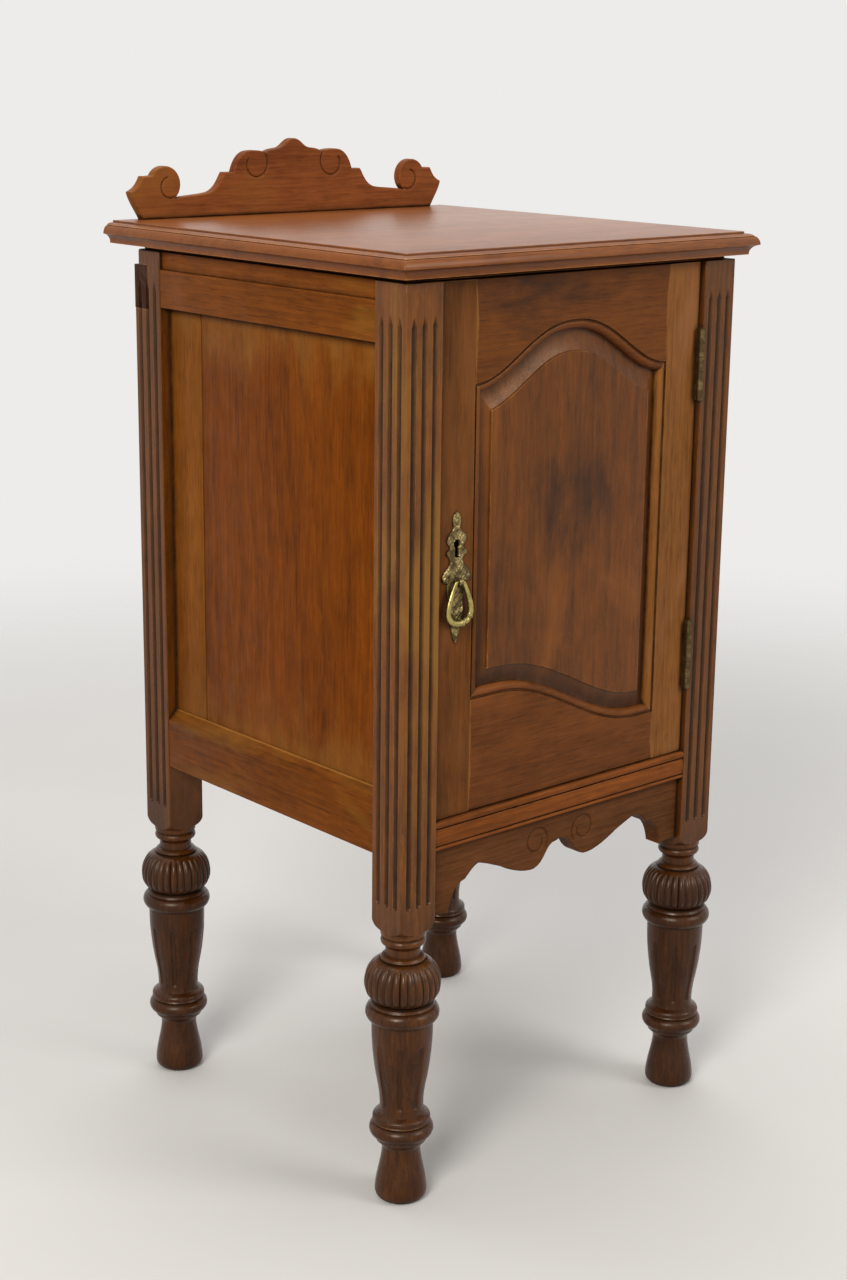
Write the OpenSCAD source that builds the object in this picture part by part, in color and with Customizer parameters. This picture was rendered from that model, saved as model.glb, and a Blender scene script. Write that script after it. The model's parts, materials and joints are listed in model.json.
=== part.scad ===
// Bedside pot cupboard: four fluted posts on turned legs, one arched door, a moulded top
// with a carved gallery, and a reeded sill over a shaped apron.
// The frame is +Z up, -Y towards the front, origin on the floor under the centre of the top.

/* [Carcass] */
// Width over the posts
carcass_w = 384; // [370:1:410]
// Depth over the posts
carcass_d = 374; // [355:1:400]
// Height of the top board's upper face
top_z = 820; // [812:1:840]
// Side of the square posts
post_w = 38.4; // [37:0.2:40]
// Height where the square post gives way to the turned leg
leg_h = 251; // [245:1:256]
// Depth that every rail's tenon enters its post
tenon_len = 18; // [12:1:20]
// Clearance round each tenon and panel edge in its mortise or groove
joint_gap = 0.2; // [0.1:0.05:0.4]

/* [Flutes] */
// Distance between neighbouring flutes
flute_pitch = 11; // [10.5:0.1:11.5]
// Width of one flute
flute_w = 4.8; // [4:0.2:5.4]
// Depth of one flute
flute_depth = 2.2; // [1.5:0.1:2.4]
// Lower end of the flutes
flute_bottom_z = 275; // [270:1:290]
// Upper end of the flutes
flute_top_z = 771; // [750:1:775]

/* [Top] */
// Thickness of the top board
top_t = 20; // [19:0.5:22]
// Overhang of the top past the posts at the front and the two sides
top_over = 15.5; // [14:0.5:18]
// Overhang of the top past the posts at the back
top_over_back = 25.5; // [22:0.5:30]
// Thickness of the beaded frame under the top
under_t = 4; // [3:0.5:5]
// Thickness of the carved gallery board
gallery_t = 8; // [6:0.5:10]
// Height of the gallery's peak above the top
gallery_h = 69.3; // [64:0.5:74]
// Distance of the gallery's back face in front of the top's back edge
gallery_inset = 5; // [3:0.5:8]

/* [Sides and back] */
// Height of the side rails' upper edge band
side_top_rail_h = 49; // [44:1:54]
// Lower edge of the bottom side rails
side_bottom_z = 318; // [314:1:324]
// Height of the bottom side rails
side_bottom_rail_h = 45; // [40:1:50]
// Thickness of the side rails
side_rail_t = 20; // [18:0.5:22]
// Depth of the side panel's face behind the rails' face
side_panel_set = 11; // [9:0.5:12]
// Thickness of the side and back boards
board_t = 7; // [6:0.5:8]
// Width of the front board of each side panel
side_board_w = 250; // [200:1:270]

/* [Door] */
// Gap between the door and its surround
door_gap = 1; // [0.8:0.1:1.4]
// Thickness of the door frame
door_t = 20; // [19:0.5:22]
// Depth of the door's face behind the posts' face
door_set = 5.3; // [5:0.1:6]
// Width of the flat face of a stile
stile_w = 39; // [37:0.5:41]
// Height of the arch's crown in the upper rail
arch_z = 756; // [750:1:762]
// Rise of the arch above its ends
arch_rise = 44.5; // [38:0.5:50]
// Height of the lower rail's edge on the handle side
lower_edge_z = 444.5; // [436:0.5:450]
// Drop of the lower rail's edge towards the hinge side
lower_drop = 53.5; // [46:0.5:58]
// Width of the moulding round the panel
sticking_w = 9; // [8:0.5:10]
// Width of the hollow bevel round the raised field
bevel_w = 12; // [11:0.5:13]
// How much wider the bevel is under the arch
arch_bevel_more = 7; // [4:0.5:9]
// How much wider the bevel is at the foot of the panel
foot_bevel_more = 4; // [2:0.5:6]

/* [Sill and apron] */
// Lower edge of the reeded sill rail
sill_z = 320; // [318:1:323]
// Height of the sill rail
sill_h = 26; // [24:0.5:27]
// Thickness of the sill rail
sill_t = 24; // [20:1:28]
// Thickness of the apron
apron_t = 18; // [15:0.5:20]
// Depth of the apron's face behind the posts' face
apron_set = 6.7; // [5:0.1:8]

/* [Interior] */
// Thickness of the shelf and the bottom board
shelf_t = 14; // [12:0.5:16]
// Height of the shelf's upper face
shelf_z = 570; // [540:1:600]

/* [Hinges] */
// Length of a butt hinge
hinge_len = 63.5; // [60:0.5:66]
// Radius of the hinge knuckle
knuckle_r = 2.75; // [2.6:0.05:2.9]
// Radius of the hinge pin
pin_r = 1.5; // [1.3:0.05:1.6]
// Thickness of a hinge leaf
leaf_t = 1.9; // [1.7:0.1:2]
// Width of a hinge leaf behind the knuckle
leaf_w = 17; // [15:0.5:17.5]
// Lower end of the upper hinge
upper_hinge_z = 674; // [650:1:685]
// Lower end of the lower hinge
lower_hinge_z = 408; // [395:1:430]
// Radial clearance of a running pin
pin_gap = 0.05; // [0.03:0.01:0.08]

/* [Handle and lock] */
// Distance of the handle plate's centre from the door's edge
plate_in = 20.6; // [19:0.2:22]
// Height of the pivot that the bail hangs from
bail_z = 551; // [546:0.5:556]
// Thickness of the handle plate
plate_t = 1.5; // [1.2:0.1:2]
// Radius of the bail's round bar
bail_r = 2.1; // [1.8:0.1:2.3]
// Height of the middle of the keyhole
key_z = 577; // [574:0.5:580]
// Travel of the lock bolt
bolt_throw = 6; // [4:0.5:7]

/* [Hidden] */
half_w = carcass_w / 2;
half_d = carcass_d / 2;
in_x = half_w - post_w;
in_y = half_d - post_w;
post_top = top_z - top_t - under_t;
origin_y = -(top_over_back - top_over) / 2;
smooth = 48;

door_top_z = post_top - door_gap;
door_bottom_z = sill_z + sill_h + door_gap;
door_half = in_x - door_gap;
door_y = -half_d + door_set;
arris_x = door_half - stile_w;

// Layers of the moulding round the door panel: [depth from, depth to, width towards the panel]
groove_from = 8.5;
groove_to = 14.5;
groove_in = 6.5;
sticking = [
    [0, 2, 0],
    [2, 3, sticking_w * 0.45],
    [3, 4.5, sticking_w * 0.72],
    [4.5, 6.5, sticking_w * 0.9],
    [6.5, groove_from, sticking_w],
    [groove_from, groove_to, sticking_w - groove_in],
    [groove_to, door_t, sticking_w]
];
field_set = 1.4;

hinge_x = door_half - 0.6;
hinge_y = -half_d + 0.1;
leaf_gap = 0.4;
leaf_mid = in_x - door_gap / 2 + 0.2;
leaf_front = knuckle_r + 0.25;
leaf_back = hinge_y + leaf_front + leaf_w;
knuckles = 5;
knuckle_h = hinge_len / knuckles;
screw_r = 1.5;
screw_head_r = 3;
screw_len = 11;
hinge_bottoms = [upper_hinge_z, lower_hinge_z];
pin_end = 0.9;
screw_heights = [hinge_len * 0.14, hinge_len * 0.5, hinge_len * 0.86];

plate_x = door_half - plate_in;
plate_y = door_y - plate_t;
bail_y = plate_y - 4.2;
bail_h = 37.5;
bail_half = 13.4;

lock_z = key_z;
lock_h = 56;
lock_w = 34;
lock_t = 9;
bolt_h = 22;
bolt_t = 5;

rail_inset = 0.6;
mortise_w = 10;
back_board_y = half_d - 12;
panel_slot = 5;
dowel_r = 3;

// The dark slip let into the left back post, and the notch above it
slip_w = 20;
slip_t = 5.5;
slip_z = [744, 783];
notch_d = 6.5;

// ---------------------------------------------------------------- outlines

// Points of an arc about c, from angle a to angle b
function arc(c, r, a, b, n = 12) =
    [for (i = [0:n]) c + r * [cos(a + (b - a) * i / n), sin(a + (b - a) * i / n)]];

// Points of a smooth curve from p to q that leaves towards u and arrives from v
function curve(p, u, v, q, n = 8) = [
    for (i = [0:n])
        let (t = i / n, s = 1 - t)
        s * s * s * p + 3 * s * s * t * u + 3 * s * t * t * v + t * t * t * q
];

// Joins runs of points end to end and leaves out repeated points
function joined(runs) =
    let (all = [for (run = runs) for (p = run) p])
    [for (i = [0:len(all) - 1]) if (i == 0 || norm(all[i] - all[i - 1]) > 0.1) all[i]];

// The same outline seen from the other side, in reverse order
function mirrored(points) =
    [for (i = [len(points) - 1:-1:0]) if (abs(points[i][0]) > 0.01) [-points[i][0], points[i][1]]];

// A strip of even width that follows an arc whose radius changes steadily
function scroll(c, r_from, r_to, a, b, w, n = 18) = concat(
    [for (i = [0:n]) c + (r_from + (r_to - r_from) * i / n + w / 2)
        * [cos(a + (b - a) * i / n), sin(a + (b - a) * i / n)]],
    [for (i = [n:-1:0]) c + (r_from + (r_to - r_from) * i / n - w / 2)
        * [cos(a + (b - a) * i / n), sin(a + (b - a) * i / n)]]
);

// Puts the carcass's own centre where the origin under the top's centre needs it
module place() {
    translate([0, origin_y, 0]) children();
}

// Draws a flat outline standing up, its face towards the front at y
module standing(y, t) {
    translate([0, y + t, 0]) rotate([90, 0, 0]) linear_extrude(t) children();
}

// A box given by its low corner and its high corner
module box(low, high) {
    translate(low) cube(high - low);
}

module both_sides() {
    children();
    mirror([1, 0, 0]) children();
}

// ---------------------------------------------------------------- top

// Section of the moulded edge: distance past the post, height under the top face
function edge_section() = joined([
    [[top_over - 10.5, 0], [top_over - 10.5, -1.8]],
    arc([top_over - 9.4, -11.2], 9.4, 90, 52, 6),
    [[top_over - 4.2, -4.8]],
    arc([top_over - 9.4, -11.2], 9.4, 46, 0, 6),
    arc([top_over + 0.7, top_t * -0.96], 7.7, 96, 180, 6),
    [[top_over - 7, -top_t]]
]);

module edge_profile(half, back) {
    section = edge_section();
    polygon(concat(
        [for (p = section) [half + p[0], top_z + p[1]]],
        back > 0 ? [[-back, top_z - top_t], [-back, top_z]]
            : [for (i = [len(section) - 1:-1:0]) [-half - section[i][0], top_z + section[i][1]]]
    ));
}

module gallery_seat(gap) {
    for (x = [-120, 0, 120])
        translate([x, gallery_y + gallery_t / 2, top_z - 12]) cylinder(r = dowel_r + gap, h = 24);
}

gallery_y = half_d + top_over_back - gallery_inset - gallery_t;

module top_board() {
    color("#8a4f38") place() difference() {
        intersection() {
            standing(-half_d - top_over - 1, carcass_d + top_over + top_over_back + 1)
                edge_profile(half_w, 0);
            rotate([90, 0, -90]) linear_extrude(carcass_w + 2 * top_over + 2, center = true)
                edge_profile(half_d, half_d + top_over_back);
        }
        gallery_seat(joint_gap / 4);
        top_screw_set(joint_gap / 4);
    }
}

// The gallery was drawn 69.3 mm high for a carcass 192 mm wide from the middle
gallery_wide = half_w / 192;
gallery_tall = gallery_h / 69.3;

module gallery_outline() {
    h = gallery_tall;
    half = joined([
        curve([0, 69.3], [9, 69.3], [11, 61], [20, 60.4]),
        curve([20, 60.4], [26, 60], [30, 59], [33.5, 57]),
        curve([33.5, 57], [38, 59], [52, 60], [58, 57.5]),
        curve([58, 57.5], [66, 54], [69.5, 45], [71, 39.8]),
        [[81.5, 39.8]],
        curve([81.5, 39.8], [86.5, 32], [89, 25], [99, 22]),
        curve([99, 22], [110, 20], [125, 20.2], [136.9, 17.9]),
        arc([147.5, 30.5], 16.5, 230, 30, 16),
        [[165, 38.4], [172, 38.4]],
        curve([172, 38.4], [176, 31], [178, 28], [186, 24.8]),
        curve([186, 24.8], [184.5, 17], [177, 8], [173, 0])
    ]);
    points = [for (p = half) [p[0] * gallery_wide, p[1] * h]];
    polygon(concat(points, mirrored(points)));
}

module gallery() {
    color("#7a4424") place() difference() {
        standing(gallery_y, gallery_t) translate([0, top_z]) gallery_outline();
        standing(gallery_y - 1, 1.9) translate([0, top_z]) both_sides() {
            polygon(scroll([143.2 * gallery_wide, 28.4 * gallery_tall], 10.5, 8.5, -120, 75, 1.4));
            polygon(scroll([45.5 * gallery_wide, 46.5 * gallery_tall], 14.5, 9.5, 137, 390, 1.4));
        }
        gallery_seat(joint_gap / 4);
    }
}

module gallery_dowels() {
    color("#b08a58") place() gallery_seat(0);
}

// The frame between the posts' ends and the top board, with two fine beads on its edge
module under_top_frame() {
    edge = 8;
    color("#3a2216") place() difference() {
        union() {
            box([-half_w + edge, -half_d + edge, post_top],
                [half_w - edge, half_d - edge, post_top + under_t]);
            box([-half_w + edge - 1.2, -half_d + edge - 1.2, post_top + under_t * 0.55],
                [half_w - edge + 1.2, half_d - edge + 1.2, post_top + under_t]);
        }
        box([-in_x + 20, -in_y + 20, post_top - 1], [in_x - 20, in_y - 20, top_z - top_t + 1]);
        top_screw_set(joint_gap / 4);
    }
}

// Blocks glued to the side rails and screwed up into the top
block_x = half_w - rail_inset - side_rail_t - 9;
block_y = in_y - 46;
block_h = 24;

module block_set() {
    for (x = [-block_x, block_x], y = [-block_y, block_y])
        translate([x - 9, y - 30, post_top - block_h]) cube([18, 60, block_h]);
}

module top_screw_set(gap) {
    for (x = [-block_x, block_x], y = [-block_y, block_y])
        translate([x, y, post_top - block_h]) {
            cylinder(r = 2 + gap, h = block_h + under_t + 13);
            translate([0, 0, -0.01]) cylinder(r1 = 4 + gap, r2 = 2 + gap, h = 3);
        }
}

module top_blocks() {
    color("#9a7448") place() difference() {
        block_set();
        top_screw_set(joint_gap / 4);
    }
}

module top_screws() {
    color("#6f6a62") place() top_screw_set(0);
}

// ---------------------------------------------------------------- posts

// The leg's section was drawn for a 251 mm leg under a 38.4 mm post, and grows with both
leg_wide = post_w / 38.4;
leg_tall = leg_h / 251;
vase_flute_w = 5 * leg_wide;
vase_flute_depth = 2.2 * leg_wide;

function leg_section() = [for (p = leg_shape()) [p[0] * leg_wide, p[1] * leg_tall]];

// Section of the turned leg from the floor up: radius, height
function leg_shape() = joined([
    [[0, 0], [15, 0]],
    curve([15, 0], [20, 0.5], [22.8, 3], [22.8, 8]),
    curve([22.8, 8], [22.6, 20], [17.6, 34], [16.8, 46]),
    [[17, 50], [18.5, 53], [22, 56]],
    arc([21, 66.5], 7, -70, 68, 10),
    [[25.3, 74.5]],
    arc([21.6, 77.5], 3.6, -30, 60, 4),
    curve([19.8, 82.5], [18.2, 86], [19, 100], [21.6, 112]),
    curve([21.6, 112], [24.4, 126], [26.5, 145], [26.5, 162]),
    arc([24, 176], 8, -72, 45, 8),
    [[27.6, 182.5], [28, 183.5], [27, 185.5], [24.5, 186.8], [20.5, 186.8]],
    curve([23.5, 187.5], [30, 189], [33, 196], [33, 203], 6),
    curve([33, 203], [33, 213], [28, 222], [20.5, 224], 8),
    [[18.5, 224], [19.5, 226], [18, 228], [15, 229], [15, 236]],
    arc([15.4, 241.8], 3.9, -70, 60, 6),
    [[18, 247], [19.3, 247.5], [19.4, 251], [0, 251]]
]);

// The post's square end, rounded in the lathe above the leg
function shoulder_section() = joined([
    [[0, leg_h], [19.4 * leg_wide, leg_h]],
    curve([19.4 * leg_wide, leg_h], [20.5 * leg_wide, leg_h + 2],
        [26.3 * leg_wide, leg_h + 1], [27.3 * leg_wide, leg_h + 12]),
    [[post_w, leg_h + 24], [post_w, post_top], [0, post_top]]
]);

// One flute cut into a face that looks along -Y, with rounded foot and pointed head
module flute(z_from, z_to, w, depth) {
    r = (w * w / 4 + depth * depth) / (2 * depth);
    translate([0, depth - r, z_from + w]) cylinder(r = r, h = z_to - z_from - 3 * w, $fn = 24);
    translate([0, depth - r, z_from + w]) sphere(r = r, $fn = 24);
    translate([0, depth - r, z_to - 2 * w]) cylinder(r1 = r, r2 = r - depth, h = 2 * w, $fn = 24);
}

module face_flutes() {
    for (i = [0:2])
        translate([half_w - post_w / 2 + (i - 1) * flute_pitch, -half_d, 0])
            flute(flute_bottom_z, flute_top_z, flute_w, flute_depth);
}

// The same three flutes on the outer side face of a front or back post
module side_flutes(y_mid) {
    for (i = [0:2])
        translate([half_w, y_mid + (i - 1) * flute_pitch, 0]) rotate([0, 0, 90])
            flute(flute_bottom_z, flute_top_z, flute_w, flute_depth);
}

// A carver's flute down the vase, cut into a face that looks along -Y
module vase_flute() {
    w = vase_flute_w / 2;
    linear_extrude(60 * leg_tall)
        polygon([[-w, -1], [-w, 0], [-0.7 * w, 0.7 * vase_flute_depth], [0, vase_flute_depth],
            [0.7 * w, 0.7 * vase_flute_depth], [w, 0], [w, -1]]);
}

module turned_leg() {
    difference() {
        rotate_extrude($fn = 64) polygon(leg_section());
        for (a = [45:45:360])
            rotate([0, 0, a]) translate([0, -19.2 * leg_wide, 90 * leg_tall]) rotate([6.9, 0, 0])
                vase_flute();
    }
}

// A post without its joints; side is -1 for a left post and 1 for a right one
module post_blank(side, y_mid) {
    translate([side * (half_w - post_w / 2), y_mid, 0]) {
        turned_leg();
        intersection() {
            translate([-post_w / 2, -post_w / 2, leg_h]) cube([post_w, post_w, post_top - leg_h]);
            rotate_extrude($fn = 64) polygon(shoulder_section());
        }
    }
}

// Draws a right-hand shape on the given side
module on_side(side) {
    mirror([side < 0 ? 1 : 0, 0, 0]) children();
}

// Slot in the posts that holds the side panel's edge
module side_panel_slot(gap) {
    for (s = [-1, 1])
        box([half_w - side_panel_set - board_t - gap, s > 0 ? in_y - 1 : -in_y - panel_slot,
                side_bottom_z + side_bottom_rail_h - panel_slot],
            [half_w - side_panel_set + gap, s > 0 ? in_y + panel_slot : -in_y + 1,
                post_top - side_top_rail_h + panel_slot]);
}

module front_post(side) {
    difference() {
        post_blank(side, -half_d + post_w / 2);
        on_side(side) face_flutes();
        on_side(side) side_flutes(-half_d + post_w / 2);
        on_side(side) side_rail_tenons([top_tenon_z, bottom_tenon_z], joint_gap);
        on_side(side) side_panel_slot(joint_gap);
        on_side(side) front_tenons(joint_gap);
    }
}

module back_post(side) {
    difference() {
        post_blank(side, half_d - post_w / 2);
        on_side(side) side_flutes(half_d - post_w / 2);
        on_side(side) side_rail_tenons([top_tenon_z, bottom_tenon_z], joint_gap);
        on_side(side) side_panel_slot(joint_gap);
        on_side(side) back_tenons(joint_gap);
        on_side(side) back_slots(joint_gap);
        if (side < 0) on_side(side) slip_seat();
    }
}

module post_front_right() {
    color("#7a4a26") place() difference() {
        front_post(1);
        hinge_leaf_seats(in_x, joint_gap / 2);
        hinge_screw_set(1, pin_gap);
    }
}

module post_front_left() {
    color("#8a5a30") place() difference() {
        front_post(-1);
        bolt_path(joint_gap);
    }
}

module post_back_right() {
    color("#6e4022") place() back_post(1);
}

module post_back_left() {
    color("#6e4022") place() back_post(-1);
}

// Seat of the dark slip and the notch above it
module slip_seat() {
    box([half_w - slip_t, half_d - slip_w, slip_z[0]], [half_w + 1, half_d + 1, slip_z[1]]);
    box([half_w - slip_t, half_d - notch_d, slip_z[1] - 0.1],
        [half_w + 1, half_d + 1, post_top + 1]);
}

module repair_slip() {
    color("#2e1c12") place() difference() {
        box([-half_w, half_d - slip_w + joint_gap, slip_z[0] + joint_gap],
            [-half_w + slip_t, half_d, slip_z[1] - joint_gap]);
        on_side(-1) side_flutes(half_d - post_w / 2);
    }
}

// ---------------------------------------------------------------- side rails and panels

// Lowest and highest points of the tenons of the top and the bottom side rail
top_tenon_z = [post_top - side_top_rail_h + 8, post_top - 8];
bottom_tenon_z = [side_bottom_z + 6, side_bottom_z + side_bottom_rail_h - 6];

// Tenons of the right-hand side rails, each starting 1 mm inside its rail
module side_rail_tenons(heights, gap) {
    x = half_w - rail_inset - side_rail_t / 2;
    for (z = heights, y = [-in_y - tenon_len, in_y - 1])
        box([x - mortise_w / 2 - gap, y - gap, z[0] - gap],
            [x + mortise_w / 2 + gap, y + tenon_len + 1 + gap, z[1] + gap]);
}

module side_panel_groove(gap) {
    box([half_w - side_panel_set - board_t - gap, -in_y - 1,
            side_bottom_z + side_bottom_rail_h - panel_slot - gap],
        [half_w - side_panel_set + gap, in_y + 1, post_top - side_top_rail_h + panel_slot + gap]);
}

module side_top_rail() {
    face = half_w - rail_inset;
    difference() {
        union() {
            box([face - side_rail_t, -in_y, post_top - side_top_rail_h], [face, in_y, post_top]);
            side_rail_tenons([top_tenon_z], 0);
        }
        box([face - 2.4, -in_y - 1, post_top - 15.5], [face + 1, in_y + 1, post_top + 1]);
        side_panel_groove(joint_gap);
    }
}

module side_bottom_rail() {
    face = half_w - rail_inset;
    top = side_bottom_z + side_bottom_rail_h;
    bevel = 10.5;
    difference() {
        union() {
            translate([0, in_y, 0]) rotate([90, 0, 0]) linear_extrude(2 * in_y) polygon([
                [face - side_rail_t, side_bottom_z], [face, side_bottom_z], [face, top],
                [half_w - side_panel_set - 0.3, top + bevel],
                [half_w - side_panel_set - board_t - 1.5, top + bevel],
                [half_w - side_panel_set - board_t - 1.5, top - 2], [face - side_rail_t, top - 2]
            ]);
            side_rail_tenons([bottom_tenon_z], 0);
        }
        box([half_w - side_panel_set - board_t - joint_gap, -in_y - 1, top - panel_slot],
            [half_w - side_panel_set + joint_gap, in_y + 1, top + bevel + 1]);
        box([0, -in_y - 1, top + 0.1], [half_w - side_panel_set, in_y + 1, top + bevel + 1]);
    }
}

module side_board(y_from, y_to) {
    box([half_w - side_panel_set - board_t, y_from,
            side_bottom_z + side_bottom_rail_h - panel_slot + joint_gap],
        [half_w - side_panel_set, y_to, post_top - side_top_rail_h + panel_slot - joint_gap]);
}

module side_front_board() {
    side_board(-in_y - panel_slot + joint_gap, -in_y + side_board_w);
}

module side_back_board() {
    side_board(-in_y + side_board_w + joint_gap, in_y + panel_slot - joint_gap);
}

module side_top_rail_right() { color("#7a4824") place() side_top_rail(); }
module side_top_rail_left() { color("#7a4824") place() mirror([1, 0, 0]) side_top_rail(); }
module side_bottom_rail_right() { color("#7a4824") place() side_bottom_rail(); }
module side_bottom_rail_left() { color("#7a4824") place() mirror([1, 0, 0]) side_bottom_rail(); }
module side_front_board_right() { color("#7a4218") place() side_front_board(); }
module side_front_board_left() { color("#7a4218") place() mirror([1, 0, 0]) side_front_board(); }
module side_back_board_right() { color("#744018") place() side_back_board(); }
module side_back_board_left() { color("#744018") place() mirror([1, 0, 0]) side_back_board(); }

// ---------------------------------------------------------------- front and back rails

front_rail_h = 28;
front_rail_t = 18;
front_rail_y = door_y + door_t + 0.3;

// Tenons of the front rails on the right-hand side
module front_tenons(gap) {
    front_tenon(sill_y + 6, sill_z + 4, sill_z + sill_h - 4, gap);
    front_tenon(apron_y + 4, sill_z - 52, sill_z - 4, gap);
    front_tenon(front_rail_y + 1, post_top - front_rail_h + 5, post_top - 5, gap);
}

module front_tenon(y, z_from, z_to, gap) {
    box([in_x - 1, y - gap, z_from - gap], [in_x + tenon_len + gap, y + mortise_w + gap, z_to + gap]);
}

sill_y = -half_d;
apron_y = -half_d + apron_set;

module front_top_rail() {
    color("#6a4424") place() {
        box([-in_x, front_rail_y, post_top - front_rail_h], [in_x, front_rail_y + front_rail_t, post_top]);
        both_sides() front_tenon(front_rail_y + 1, post_top - front_rail_h + 5, post_top - 5, 0);
    }
}

// Section of the reeded sill rail: two beads divided from a flat band by fine grooves
function sill_section() = joined([
    [[sill_t, 0], [2, 0]],
    curve([2, 0], [-0.6, 0.2], [-0.6, 3.4], [1.6, 3.6], 6),
    [[1.6, 4.6], [0.5, 5.2], [0.5, sill_h - 7.8], [1.6, sill_h - 7.2], [1.6, sill_h - 6.4]],
    curve([1.6, sill_h - 6.2], [-0.9, sill_h - 5.8], [-0.9, sill_h - 0.3], [2.2, sill_h], 8),
    [[sill_t, sill_h]]
]);

module sill_rail() {
    color("#8a5026") place() difference() {
        union() {
            translate([in_x, sill_y + 0.3, sill_z]) rotate([90, 0, -90]) mirror([1, 0, 0])
                linear_extrude(2 * in_x) polygon(sill_section());
            both_sides() front_tenon(sill_y + 6, sill_z + 4, sill_z + sill_h - 4, 0);
        }
    }
}

// The apron's edge was drawn for 153.6 mm from the middle to the post, and follows that width
apron_wide = in_x / 153.6;

function apron_edge() = [for (p = apron_shape()) [p[0] * apron_wide, p[1]]];

// Lower edge of the apron from the right-hand post to the middle: distance, drop under the sill
function apron_shape() = joined([
    [[153.6, -61]],
    curve([153.6, -61], [146, -59], [136, -60], [132.5, -62], 5),
    curve([132.5, -62], [131, -50], [125, -37], [113.4, -35.5], 7),
    curve([113.4, -35.5], [108, -31], [104, -26], [98, -24.5], 5),
    curve([98, -24.5], [88, -27], [80, -31], [72, -34], 5),
    curve([72, -34], [60, -41], [42, -48], [31, -46.5], 7),
    curve([31, -46.5], [20, -44], [18, -34], [12, -29], 6),
    curve([12, -29], [8, -25], [3, -28], [0, -24], 4)
]);

module apron() {
    half = apron_edge();
    color("#4a2c18") place() difference() {
        union() {
            standing(apron_y, apron_t) translate([0, sill_z])
                polygon(concat([[-in_x, 0], [in_x, 0]], half, mirrored(half)));
            both_sides() front_tenon(apron_y + 4, sill_z - 52, sill_z - 4, 0);
        }
        standing(apron_y - 1, 2) translate([0, sill_z]) both_sides()
            polygon(scroll([29 * apron_wide, -21.5], 14, 13, 0, 355, 1.6, 28));
    }
}

// Tenons of the back rails on the right-hand side
module back_tenons(gap) {
    for (z = [[post_top - 35, post_top - 8], [side_bottom_z + 6, side_bottom_z + 39]])
        box([in_x - 1, half_d - 26 - gap, z[0] - gap],
            [in_x + tenon_len + gap, half_d - 16 + gap, z[1] + gap]);
}

// Slot in the back posts that holds the back boards' edges
module back_slots(gap) {
    box([in_x - 1, back_board_y - board_t - gap, side_bottom_z + 40],
        [in_x + panel_slot, back_board_y + gap, post_top - 36]);
}

module back_rail(z_from, z_to, slot_z) {
    difference() {
        union() {
            box([-in_x, half_d - 30, z_from], [in_x, half_d - 8, z_to]);
            both_sides() intersection() {
                back_tenons(0);
                box([0, 0, z_from], [half_w, half_d, z_to]);
            }
        }
        box([-in_x - 1, back_board_y - board_t - joint_gap, slot_z - panel_slot],
            [in_x + 1, back_board_y + joint_gap, slot_z + panel_slot]);
    }
}

module back_top_rail() {
    color("#6a4424") place() back_rail(post_top - 43, post_top, post_top - 43);
}

module back_bottom_rail() {
    color("#6a4424") place() back_rail(side_bottom_z, side_bottom_z + 45, side_bottom_z + 45);
}

// Three upright boards that close the back
module back_boards() {
    w = 2 * (in_x + panel_slot) / 3;
    color("#8a6238") place() for (i = [-1:1])
        box([i * w - w / 2 + joint_gap, back_board_y - board_t, side_bottom_z + 40 + joint_gap],
            [i * w + w / 2 - joint_gap, back_board_y, post_top - 38 - joint_gap]);
}

// ---------------------------------------------------------------- inside

inner_front = sill_y + sill_t + 0.3;
inner_back = half_d - 30;
rail_face = half_w - rail_inset - side_rail_t;
board_face = half_w - side_panel_set - board_t;
floor_z = sill_z + sill_h;
cleat_w = 14;
cleat_h = 16;

// A board that spans the carcass and is notched round the four posts
module shelf_board(z, half, front) {
    difference() {
        box([-half, front, z - shelf_t], [half, inner_back, z]);
        both_sides() for (y = [-half_d - 1, in_y])
            box([in_x, y, z - shelf_t - 1], [half_w, y + half_d + 1 - in_y, z + 1]);
    }
}

module bottom_board() {
    color("#7a5430") place() difference() {
        shelf_board(floor_z, rail_face, inner_front);
        cleat_screw_set(floor_z - shelf_t, rail_face, joint_gap / 4);
        stop_screw_set(pin_gap);
    }
}

module shelf() {
    color("#7a5430") place() difference() {
        shelf_board(shelf_z, board_face, inner_front + 18);
        cleat_screw_set(shelf_z - shelf_t, board_face, joint_gap / 4);
    }
}

module cleats(z, face) {
    difference() {
        both_sides() box([face - cleat_w, -in_y + 2, z - cleat_h], [face, in_y - 2, z]);
        cleat_screw_set(z, face, joint_gap / 4);
    }
}

module cleat_screw_set(z, face, gap) {
    for (x = [-face + cleat_w / 2, face - cleat_w / 2], y = [-in_y + 25, in_y - 35])
        translate([x, y, z - cleat_h]) cylinder(r = 1.8 + gap, h = cleat_h + 8);
}

module bottom_cleats() {
    color("#9a7448") place() cleats(floor_z - shelf_t, rail_face);
}

module shelf_cleats() {
    color("#9a7448") place() cleats(shelf_z - shelf_t, board_face);
}

module cleat_screws() {
    color("#6f6a62") place() {
        cleat_screw_set(floor_z - shelf_t, rail_face, 0);
        cleat_screw_set(shelf_z - shelf_t, board_face, 0);
    }
}

// A small block on the bottom board that stops the door level with its frame
stop_x = -in_x + 40;
stop_t = 10;
stop_y = door_y + door_t + 0.2;

module stop_screw_set(gap) {
    for (x = [-8, 8])
        translate([stop_x + x, stop_y + stop_t / 2, floor_z - 9]) cylinder(r = 1.5 + gap, h = 9 + stop_t);
}

module door_stop() {
    color("#5a3a20") place() {
        difference() {
            box([stop_x - 15, stop_y, floor_z], [stop_x + 15, stop_y + stop_t, floor_z + stop_t]);
            stop_screw_set(pin_gap);
        }
        stop_screw_set(0);
    }
}

// ---------------------------------------------------------------- door

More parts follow.
